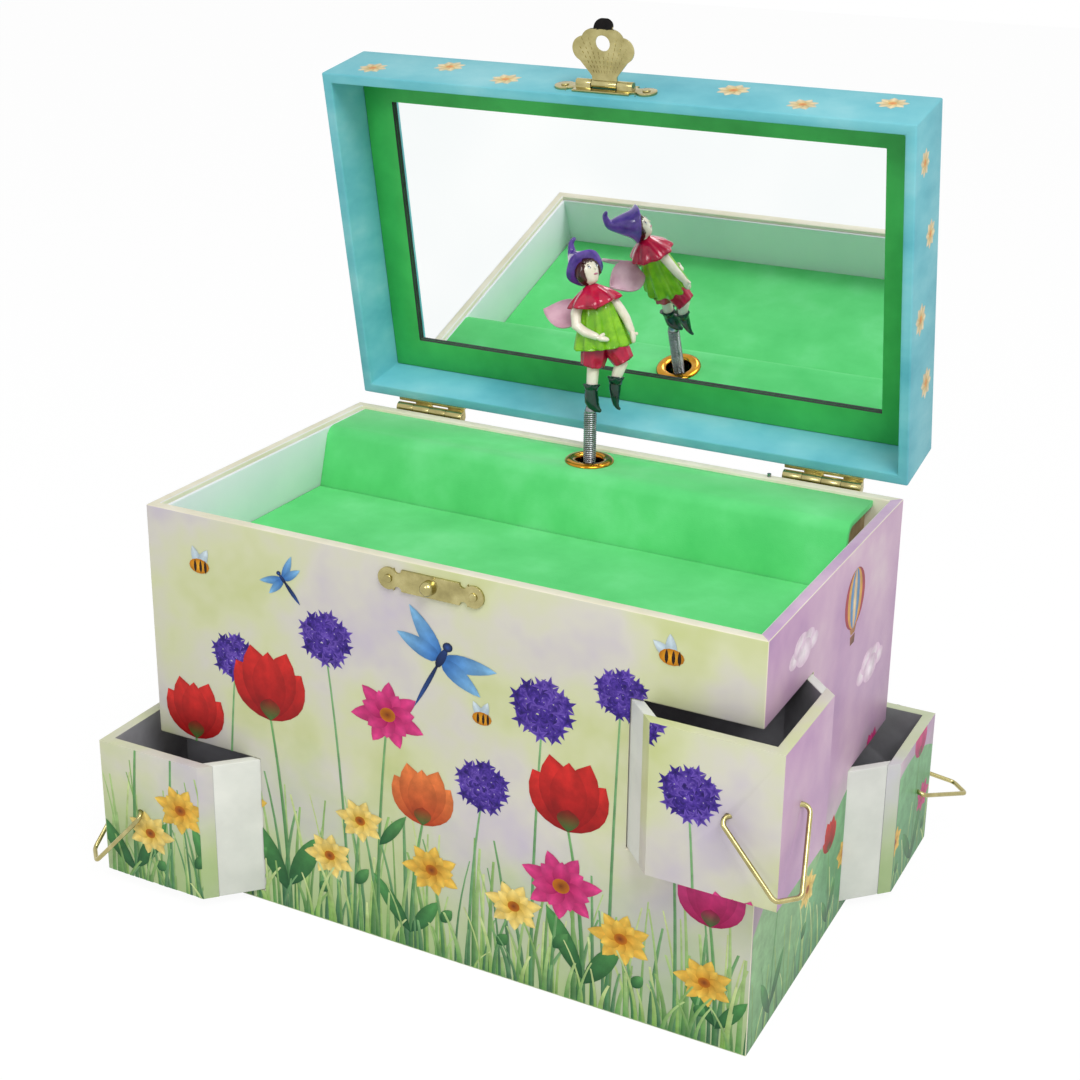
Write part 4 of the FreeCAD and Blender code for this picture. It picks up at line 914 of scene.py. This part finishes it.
def pixieLegs():
    standing = limb("standingLeg", [(0.3, 0, 7.5, 1.9), (0.5, 0.2, 12.5, 2.05), (0.8, 0, 18, 2.2)])
    raised = limb("raisedLeg", [(8.3, 0.6, 10.6, 1.7), (8.9, 1.0, 14, 1.95), (10.2, 1.6, 17.8, 2.25),
                                (9.0, 1.0, 21, 2.3)])
    legs = joinPieces("pixieLegs", standing, raised)
    boots = []
    for label, stations, cuff in (
            ("standingBoot", [(0.2, 0, 8.6, 2.15), (0.2, 0.2, 6.2, 2.35), (0.4, 0.4, 4.0, 2.5), (1.1, 0.8, 2.4, 2.1),
                              (2.2, 1.2, 1.4, 1.4), (3.0, 1.5, 1.0, 0.8)], ((0.2, 0, 7.4), (0.3, 0, 10.4))),
            ("raisedBoot", [(8.3, 0.6, 11.6, 2.0), (8.2, 0.8, 8.6, 2.0), (8.3, 1.0, 5.6, 1.55), (8.6, 1.2, 3.2, 1.0),
                            (9.3, 1.3, 2.0, 0.65), (9.8, 1.4, 1.7, 0.5)], ((8.3, 0.7, 10.2), (8.5, 0.5, 13.4)))):
        boots.append(limb(label, stations))
        boots.append(drape(label + "Cuff", *cuff, [(0, 0, 0, 0), (0, 2.2, 2.2, 0), (0.45, 2.35, 2.35, 0.03),
                                                   (0.8, 2.75, 2.75, 0.16), (0.86, 2.6, 2.6, 0.16), (0.5, 1.9, 1.9, 0),
                                                   (0.3, 0, 0, 0)], 5))
    boots = joinPieces("pixieBoots", *boots)
    ferrule = limb("pixieFerrule", [(0, 0, 0.2, 2.0), (0.1, 0.1, 1.6, 1.7)])
    return [(legs, skinPaint), (boots, bootPaint), (ferrule, brightSteel)]


def pixieClothes():
    left = drape("standingShorts", (0.3, 0, 15.6), (1.9, 0, 27), [
        (0.12, 0, 0, 0), (0.12, 2.0, 2.0, 0), (0.0, 3.4, 3.7, 0.06), (0.03, 3.9, 4.3, 0.08), (0.12, 3.5, 3.8, 0.05),
        (0.3, 4.1, 4.5, 0.03), (0.55, 4.2, 4.7, 0.02), (0.8, 3.9, 4.2, 0), (1.0, 2.0, 2.0, 0), (1.0, 0, 0, 0)], 8)
    right = drape("raisedShorts", (11.5, 1.6, 18.0), (6.2, 0.2, 26.5), [
        (0.12, 0, 0, 0), (0.12, 2.0, 2.0, 0), (0.0, 3.5, 3.4, 0.06), (0.03, 4.0, 3.9, 0.08), (0.12, 3.6, 3.5, 0.05),
        (0.3, 4.1, 4.1, 0.03), (0.6, 4.3, 4.4, 0.02), (0.85, 3.9, 3.9, 0), (1.0, 2.0, 2.0, 0), (1.0, 0, 0, 0)], 8)
    tunic = drape("pixieTunic", (3.9, 0.4, 22.6), (1.3, 0, 42.5), [
        (0.22, 0, 0, 0), (0.2, 5.6, 7.6, 0.05), (0.02, 6.7, 9.0, 0.1), (0.0, 6.95, 9.35, 0.115),
        (0.04, 6.9, 9.3, 0.115), (0.14, 6.6, 8.9, 0.11), (0.3, 6.1, 8.0, 0.1), (0.5, 5.5, 6.9, 0.08),
        (0.7, 4.9, 5.9, 0.05), (0.85, 4.3, 4.9, 0.01), (1.0, 2.2, 2.4, 0), (1.0, 0, 0, 0)], 11)
    collar = drape("pixieCollar", (1.3, 0.3, 37.6), (-0.6, 0, 45.2), [
        (0.34, 0, 0, 0), (0.3, 4.8, 5.8, 0.02), (0.1, 7.3, 9.3, 0.07), (0.05, 7.6, 9.7, 0.07), (0.1, 7.7, 9.8, 0.07),
        (0.25, 7.2, 9.2, 0.06), (0.5, 5.8, 7.4, 0.05), (0.75, 3.8, 4.8, 0.03), (0.93, 2.2, 2.4, 0), (1.0, 1.7, 1.8, 0),
        (1.0, 0, 0, 0)], 9)
    shorts = joinPieces("pixieShorts", left, right)
    return [(smoothPiece(shorts), crimsonPaint), (smoothPiece(tunic), limePaint), (smoothPiece(collar), crimsonPaint)]


def pixieArms():
    near = limb("nearArm", [(-4.4, 0.8, 39, 1.9), (-5.5, 2.2, 35, 1.9), (-5.2, 3.6, 31.4, 1.8),
                            (-2.2, 5.8, 29.8, 1.6), (1.3, 7.2, 28.8, 1.25)])
    nearHand = limb("nearHand", [(1.6, 7.3, 28.7, 1.15), (3.2, 7.7, 28.3, 1.6), (4.7, 7.6, 28.0, 1.2)], 0.7)
    nearThumb = limb("nearThumb", [(2.8, 7.9, 28.9, 0.75), (3.8, 8.1, 29.8, 0.6)])
    far = limb("farArm", [(7.2, 0.5, 39.6, 1.75), (9.6, 0.8, 36.6, 1.65), (11.4, 1.2, 33.8, 1.55),
                          (12.6, 1.9, 31.2, 1.35), (13.3, 2.3, 29.8, 1.15)])
    farHand = limb("farHand", [(13.4, 2.4, 29.6, 1.1), (13.9, 2.7, 28.2, 1.5), (14.0, 2.9, 26.6, 1.1)], 0.75)
    farThumb = limb("farThumb", [(14.0, 2.9, 28.6, 0.75), (15.0, 3.1, 28.9, 0.6)])
    return [(joinPieces("pixieArms", near, nearHand, nearThumb, far, farHand, farThumb), skinPaint)]


def pixieHead():
    neck = limb("neck", [(-0.2, 0, 42.5, 1.7), (-0.8, 0, 46.5, 1.6)])
    gaze = heading(0.5, 0.6, 0.6)  # the head is thrown back to the right
    upward = heading(-0.5, -0.5, 0.72)
    upward = (upward - gaze * upward.dot(gaze)).normalized()
    side = upward.cross(gaze).normalized()
    centre = spot(-1.5, 0.4, 49.3)

    def onHead(rise, forward, across=0):
        return centre + (side * across + gaze * forward + upward * rise) * mm

    def headLoft(label, rows, sides=None):  # rows of (rise, forward, deep radius, wide radius) and, off centre, across
        rings = [(onHead(*row[:2], *row[4:]), row[2], row[3], 0) for row in rows]
        return loft(label, rings, deep=gaze, sides=sides)

    skull = headLoft("skull", [(-4.3, 1.1, 0, 0), (-4.1, 1.1, 1.0, 1.0), (-3.4, 0.9, 2.0, 1.95), (-2.2, 0.4, 3.1, 2.75),
                               (-0.6, 0.1, 3.8, 3.4), (1.2, 0, 3.95, 3.6), (2.8, -0.1, 3.4, 3.2), (3.8, -0.2, 2.2, 2.1),
                               (4.3, -0.2, 0, 0)])
    nose = headLoft("nose", [(0.7, 3.2, 0, 0), (0.5, 3.5, 0.3, 0.28), (-0.5, 4.1, 0.42, 0.42), (-0.85, 3.9, 0, 0)], 12)
    head = joinPieces("pixieHead", skull, neck, nose)
    marks = []

    def mark(label, across, rise, wide, tall, proud, paint, forward=3.55):
        obj = addShape(label, bpy.ops.mesh.primitive_uv_sphere_add, segments=16, ring_count=10, radius=1)
        turn = Matrix((side, gaze, upward)).transposed().to_4x4()
        bend = Matrix.Rotation(-across * 0.26, 4, upward)
        shape = Matrix.Diagonal((wide * mm, proud * mm, tall * mm, 1))
        place = onHead(rise, forward - 0.16 * across * across, across)
        obj.data.transform(Matrix.Translation(place) @ bend @ turn @ shape)
        bpy.ops.object.shade_smooth()
        marks.append((obj, paint))

    for way in (-1, 1):
        mark("eyeWhite" + str(way), way * 1.35, 0.55, 0.74, 0.44, 0.24, whitePaint)
        mark("iris" + str(way), way * 1.3, 0.52, 0.46, 0.46, 0.32, eyePaint)
        mark("lash" + str(way), way * 1.38, 1.0, 0.9, 0.24, 0.32, eyePaint)
        mark("brow" + str(way), way * 1.42, 1.6, 0.85, 0.16, 0.26, hairPaint, 3.5)
    mark("mouth", 0.05, -2.0, 0.9, 0.36, 0.28, lipPaint, 3.05)

    hair = [headLoft("hairCrown", [(-3.6, -2.6, 0, 0), (-3.3, -2.5, 1.6, 2.2), (-1.8, -1.9, 2.9, 3.7),
                                   (0.2, -1.1, 3.9, 4.35), (2.2, -0.5, 4.0, 4.2), (3.8, -0.3, 3.1, 3.3),
                                   (4.8, -0.3, 1.5, 1.6), (5.0, -0.3, 0, 0)])]
    for way, drop in ((-1, -2.6), (1, -1.6)):
        lock = [(u, g, r, r * 1.3, way * w) for w, g, u, r in (
            (2.4, 2.0, 3.3, 0), (2.8, 1.9, 2.6, 0.7), (3.55, 1.2, 0.6, 0.85), (3.5, 0.7, -1.2, 0.8),
            (3.0, 0.4, drop, 0.5), (2.8, 0.5, drop - 0.6, 0))]
        hair.append(headLoft("hairLock" + str(way), lock, 14))
    for number in range(5):
        swing = (number - 2) * 0.95
        fall = abs(swing)
        strand = [(u, g, r, r * 1.2, w) for w, g, u, r in (
            (swing * 0.6, 1.4, 4.3, 0), (swing * 0.8, 2.3, 3.9, 0.6), (swing, 3.2 - fall * 0.35, 2.9, 0.55),
            (swing * 1.12 + 0.15, 3.45 - fall * 0.4, 2.2, 0.3), (swing * 1.15 + 0.2, 3.5 - fall * 0.4, 1.9, 0))]
        hair.append(headLoft("fringe" + str(number), strand, 12))
    hair = joinPieces("pixieHair", *hair)

    middle, bend = centre + shift(-1.4, -0.8, 1.4), centre + shift(-5.6, -9.8, 3.6)
    axis = (bend - middle).normalized()
    tip, curl = centre + shift(-6.2, -10.4, 7.6), centre + shift(-4.9, -10.2, 9.4)
    rings = [(middle + axis * rise * mm, radius, ripple) for rise, radius, ripple in (
        (1.4, 0, 0), (1.3, 4.3, 0), (0.2, 5.4, 0), (-0.5, 6.8, 0.03), (-0.35, 7.05, 0.035), (0.1, 6.8, 0.03),
        (1.0, 5.7, 0), (2.2, 4.9, 0), (4.6, 4.0, 0), (7.2, 2.9, 0))]
    rings += [(bend, 1.75, 0), (bend.lerp(tip, 0.5), 1.25, 0), (tip, 0.95, 0), (tip.lerp(curl, 0.6), 0.8, 0),
              (curl, 0.6, 0), (curl + heading(1, 0, 0.1) * 0.5 * mm, 0, 0)]
    hat = loft("pixieHat", [(place, radius, radius, ripple) for place, radius, ripple in rings], 5,
               deep=heading(0, 1, 0.3), sides=48)
    return [(smoothPiece(head), skinPaint), (hair, hairPaint), (smoothPiece(hat), purplePaint)] + marks


wing = dict(root=3, reach=14.4, width=6.1, cup=0.9, sheet=0.7 * mm, edge=0.2 * mm)


def pixieWings():
    # each wing is a thin leaf-shaped sheet: reach along one way, height up and down from its middle line
    wings = []
    start = spot(-1, -2.5, 33)
    for label, way, lift in (("nearWing", (-0.887, -0.46, 0), (0.332, -0.673, 0.66)),
                             ("farWing", (0.05, -1, 0), (-0.754, -0.05, 0.66))):
        leaf = addShape(label, bpy.ops.mesh.primitive_grid_add, x_subdivisions=18, y_subdivisions=8, size=1)
        out, up = heading(*way), heading(*lift)
        across = out.cross(up)
        for vertex in leaf.data.vertices:
            share, rise = vertex.co.x + 0.5, vertex.co.y * 2
            width = wing["width"] * sin(pi * (0.12 + 0.88 * share) ** 0.9) ** 0.8 if share < 1 else 0
            cup = wing["cup"] * (rise * rise - 0.5) * share
            vertex.co = start + (out * (wing["root"] + share * wing["reach"]) + up * (rise * width) + across * cup) * mm
        editWhole(leaf, (bpy.ops.mesh.remove_doubles, dict(threshold=0.01 * mm)))
        applyModifier(leaf, "SOLIDIFY", thickness=wing["sheet"], offset=0)
        wings.append(roundEdges(leaf, wing["edge"], 2, 50))
    return joinPieces("pixieWings", *wings)


def makePixie():
    pieces = pixieLegs() + pixieClothes() + pixieArms() + pixieHead()
    for obj, paint in pieces:
        finishPiece(obj, "pixie", paint)
    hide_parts("figure")
    finishPiece(pixieWings(), "pixie", wingPaint, ["figure_wings"])


makePixie()
print("pixie painted")


# close-wound coil spring and the rolled eyelet that it passes through
coil = dict(wire=0.7 * mm, outer=2.25 * mm, sides=8, steps=22)
eyelet = dict(hole=4.7 * mm, throat=0.75 * mm, drop=2.2 * mm, under=0.15)


def makeSpring():
    span, half = springHigh.z - springLow.z, coil["wire"] / 2
    turns = int(span / coil["wire"]) - 1
    spring = addShape("coilSpring", bpy.ops.mesh.primitive_circle_add, vertices=coil["sides"], radius=half)
    for vertex in spring.data.vertices:  # the wire's section stands upright, out at the coil's radius
        x, y = vertex.co.x, vertex.co.y
        vertex.co = (coil["outer"] - half + x, 0, springLow.z + half + y)
    applyModifier(spring, "SCREW", axis="Z", angle=2 * pi, screw_offset=(span - coil["wire"]) / turns,
                  iterations=turns, steps=coil["steps"], render_steps=coil["steps"], use_merge_vertices=False)
    spring.location = (spindleX, spindleY, 0)
    editWhole(settle(spring), (bpy.ops.mesh.remove_doubles, dict(threshold=0.001 * mm)),
              (bpy.ops.mesh.fill_holes, dict(sides=coil["sides"])), facingOut)
    bpy.ops.object.shade_smooth()
    spring.data.materials.append(brightSteel)
    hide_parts("figure_spring")
    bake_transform(spring)


def makeEyelet():
    low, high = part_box("eyelet")
    outer, hole, throat = (high.x - low.x) / 2, eyelet["hole"], eyelet["throat"]
    half = (outer - hole) / 2
    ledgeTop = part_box("ledge_cover")[1].z
    ring = addShape("rolledEyelet", bpy.ops.mesh.primitive_torus_add, major_radius=(outer + hole) / 2,
                    minor_radius=half, major_segments=72, minor_segments=24, location=(spindleX, spindleY, ledgeTop))
    for vertex in ring.data.vertices:
        vertex.co.z *= (high.z - ledgeTop) / half if vertex.co.z > 0 else eyelet["under"]
        reach = vertex.co.xy.length
        if reach < hole + throat and vertex.co.z <= 0.1 * mm:  # the throat turns down through the ledge
            vertex.co.z -= eyelet["drop"] * (1 - (reach - hole) / throat)
    bpy.ops.object.shade_smooth()
    settle(ring)
    finishPiece(ring, "carcass", goldBrass, ["eyelet"])


makeSpring()
makeEyelet()
print("spring and eyelet made")


# metal fittings: stamped brass with soft edges; the shell flap has rows of small raised strokes and a lip painted black
# as its dark reflection and shade
fitting = dict(edge=0.18 * mm, notch=1.3 * mm, notchAt=11.2 * mm, lobeFrom=15 * mm)
clasp = dict(columns=9, rows=8, stroke=0.3 * mm, length=0.85 * mm, proud=0.16 * mm, within=8.4 * mm, splay=0.5,
             pivot=1.5 * mm, hole=13.5 * mm, holeClear=3.4 * mm, web=0.76 * mm, webSunk=0.02 * mm, lip=2.9 * mm,
             dome=2.3 * mm, domeRise=0.9 * mm, domeSunk=0.8 * mm)


def stampedStrokes():
    pivot = closedBox("hasp_flap")[1].y - clasp["pivot"]
    hole = Vector((0, pivot - clasp["hole"]))
    places = [lidShut @ v.co for v in nodes["hasp_flap"].data.vertices]
    under = min(p.z for p in places if pivot - 10 * mm < p.y < pivot - 4 * mm)
    half = Vector((clasp["stroke"] / 2, clasp["length"] / 2, clasp["proud"]))
    strokes = []
    for row in range(clasp["rows"]):
        reach = (4.2 + 1.5 * row) * mm
        for column in range(clasp["columns"]):
            side = column / (clasp["columns"] - 1) * 2 - 1
            x, y = side * (1.5 * mm + reach * 0.56), pivot - reach
            if (Vector((x, y)) - hole).length < clasp["holeClear"] or abs(x) > clasp["within"]:
                continue
            stroke = addBlock("stroke", -half, half)
            stroke.data.transform(Matrix.Translation((x, y, under)) @ Matrix.Rotation(side * clasp["splay"], 4, "Z"))
            strokes.append(openLid(stroke))
    # the flap's sides run straight from its neck to the outer lobes
    outline = [(-4.3, -2.6), (4.3, -2.6), (9.9, -9.4), (6.6, -11.4), (2.5, -10.5), (-2.5, -10.5), (-6.6, -11.4),
               (-9.9, -9.4)]
    web = addOutline("web", [(x * mm, pivot + y * mm, under + clasp["webSunk"]) for x, y in outline],
                     (0, 0, clasp["web"]))
    return strokes + [openLid(web)]


def notches(places):  # rounded bites in a plate's edges that leave a lobe round each nail
    ends = [p for p in places if abs(p.x) > fitting["lobeFrom"]]
    middle = sum(p.y for p in ends) / len(ends)
    tools = []
    for x in (-fitting["notchAt"], fitting["notchAt"]):
        for z in (min(p.z for p in ends), max(p.z for p in ends)):
            bite = addShape("bite", bpy.ops.mesh.primitive_cylinder_add, vertices=32, radius=fitting["notch"],
                            depth=6 * fitting["notch"], location=(x, middle, z), rotation=(pi / 2, 0, 0))
            tools.append(settle(bite))
    return tools


def makeFittings():
    for node, body in (("hinge_base_leaves", "carcass"), ("hinge_lid_leaves", "lid"), ("strike_plate", "carcass"),
                       ("hasp_plate", "lid"), ("hasp_flap", "hasp")):
        piece = looseCopy(node, node + "Stamped")
        places = [v.co for v in nodes[node].data.vertices]
        if node == "strike_plate":
            cutAway(piece, *notches(places))
        if node == "hasp_plate":
            cutAway(piece, *[openLid(tool) for tool in notches([lidShut @ p for p in places])])
        roundEdges(piece, fitting["edge"], 2, 35)
        if node == "hasp_flap":
            piece = joinPieces(piece.name, piece, *stampedStrokes())
            piece.data.materials.append(paleBrass)
            tip = closedBox(node)[0].y
            # the curled lip is painted black as its dark reflection and shade
            paintFaces(piece, lipShadeAndReflection, lambda c, n: (lidShut @ c).y < tip + clasp["lip"])
            finishPiece(piece, body, None, [node])
            continue
        if node == "strike_plate":
            nails = sum(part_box("strike_nails"), Vector()) / 2
            dome = addShape("dome", bpy.ops.mesh.primitive_uv_sphere_add, segments=32, ring_count=16,
                            radius=clasp["dome"], location=(0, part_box(node)[1].y - clasp["domeSunk"], nails.z))
            dome.scale = (1, clasp["domeRise"] / clasp["dome"], 1)
            bpy.ops.object.shade_smooth()
            piece = joinPieces(piece.name, piece, settle(dome))
        finishPiece(piece, body, paleBrass, [node])


makeFittings()
dress(paleBrass, "hinge_pins", "hinge_base_screws", "strike_nails", "hinge_lid_screws", "hasp_pin", "hasp_nails",
      "spindle_bush", "pin_cylinder", "mainspring_barrel")
dress(zincCasting, "movement_bedplate")
dress(brightSteel, "movement_screws", "comb", "stop_wire", "spindle", "winding_arbor")
dress(nickelPlate, "winding_key")
dress(blackMoulding, "governor_housing")
print("fittings finished")


# stage: pale floor, soft studio light, white surroundings
stage = dict(floorSize=6.0, floorTone="#f4f4f4", glowShare=0.92, glow=1.03, worldLevel=0.42, aim=(0, 0, 0.12),
             keyPower=2.6, keySize=0.3, fillPower=12.5, fillSize=0.7)


def seenDirectly(owner):  # 1 where the camera, a shine or a glass looks, 0 for the light that falls on the box
    path = addNode(owner, "LightPath")
    seen = path.outputs["Is Camera Ray"]
    for ray in ("Is Glossy Ray", "Is Transmission Ray"):
        seen = addNode(owner, "Math", {"operation": "MAXIMUM"}, {0: seen, 1: path.outputs[ray]}).outputs[0]
    return seen


def makeStage():
    floor = addShape("studioFloor", bpy.ops.mesh.primitive_plane_add, size=stage["floorSize"])
    material, shader = newMaterial("paintedFloor", Roughness=0.9, Base_Color=linear(stage["floorTone"]))
    share = addNode(material, "Math", {"operation": "MULTIPLY", 1: stage["glowShare"]}, {0: seenDirectly(material)})
    glow = addNode(material, "Emission", {"Color": (1, 1, 1, 1), "Strength": stage["glow"]})
    mix = addNode(material, "MixShader", {}, {0: share, 1: shader, 2: glow})
    addNode(material, material.node_tree.nodes["Material Output"], {}, {"Surface": mix})
    floor.data.materials.append(material)

    world = bpy.data.worlds.new("studioWorld")
    bpy.context.scene.world = world
    world.use_nodes = True
    level = addNode(world, "MapRange", {"To Min": stage["worldLevel"], "To Max": 1.0}, {"Value": seenDirectly(world)})
    addNode(world, world.node_tree.nodes["Background"], {"Color": (1, 1, 1, 1)}, {"Strength": level})

    for label, place, power, size in (("keyLight", (-0.15, -1.15, 0.85), stage["keyPower"], stage["keySize"]),
                                      ("fillLight", (0.7, -0.6, 1.3), stage["fillPower"], stage["fillSize"])):
        lamp = addShape(label, bpy.ops.object.light_add, type="AREA", location=place)
        lamp.data.energy = power
        lamp.data.size = size
        lamp.rotation_euler = (Vector(stage["aim"]) - Vector(place)).to_track_quat("-Z", "Y").to_euler()


# camera at the photograph's view, from the box's own edges
view = dict(place=(249.9 * mm, -471.58 * mm, 337.16 * mm), azimuth=26.277, elevation=18.92, roll=1.021,
            lens=59.352, sensor=36, shiftX=-0.03606, shiftY=-0.09289, clipStart=0.01)


def makeCamera():
    azimuth, elevation, roll = (radians(view[key]) for key in ("azimuth", "elevation", "roll"))
    camera = addShape("Camera", bpy.ops.object.camera_add)
    camera.matrix_world = (Matrix.Translation(view["place"]) @ Matrix.Rotation(azimuth, 4, "Z")
                           @ Matrix.Rotation(pi / 2 - elevation, 4, "X") @ Matrix.Rotation(roll, 4, "Z"))
    camera.data.sensor_width = view["sensor"]
    camera.data.lens = view["lens"]
    camera.data.shift_x = view["shiftX"]
    camera.data.shift_y = view["shiftY"]
    camera.data.clip_start = view["clipStart"]
    bpy.context.scene.camera = camera
    bpy.context.scene.view_settings.view_transform = "Standard"


makeStage()
makeCamera()
print("stage and camera set")

pick()
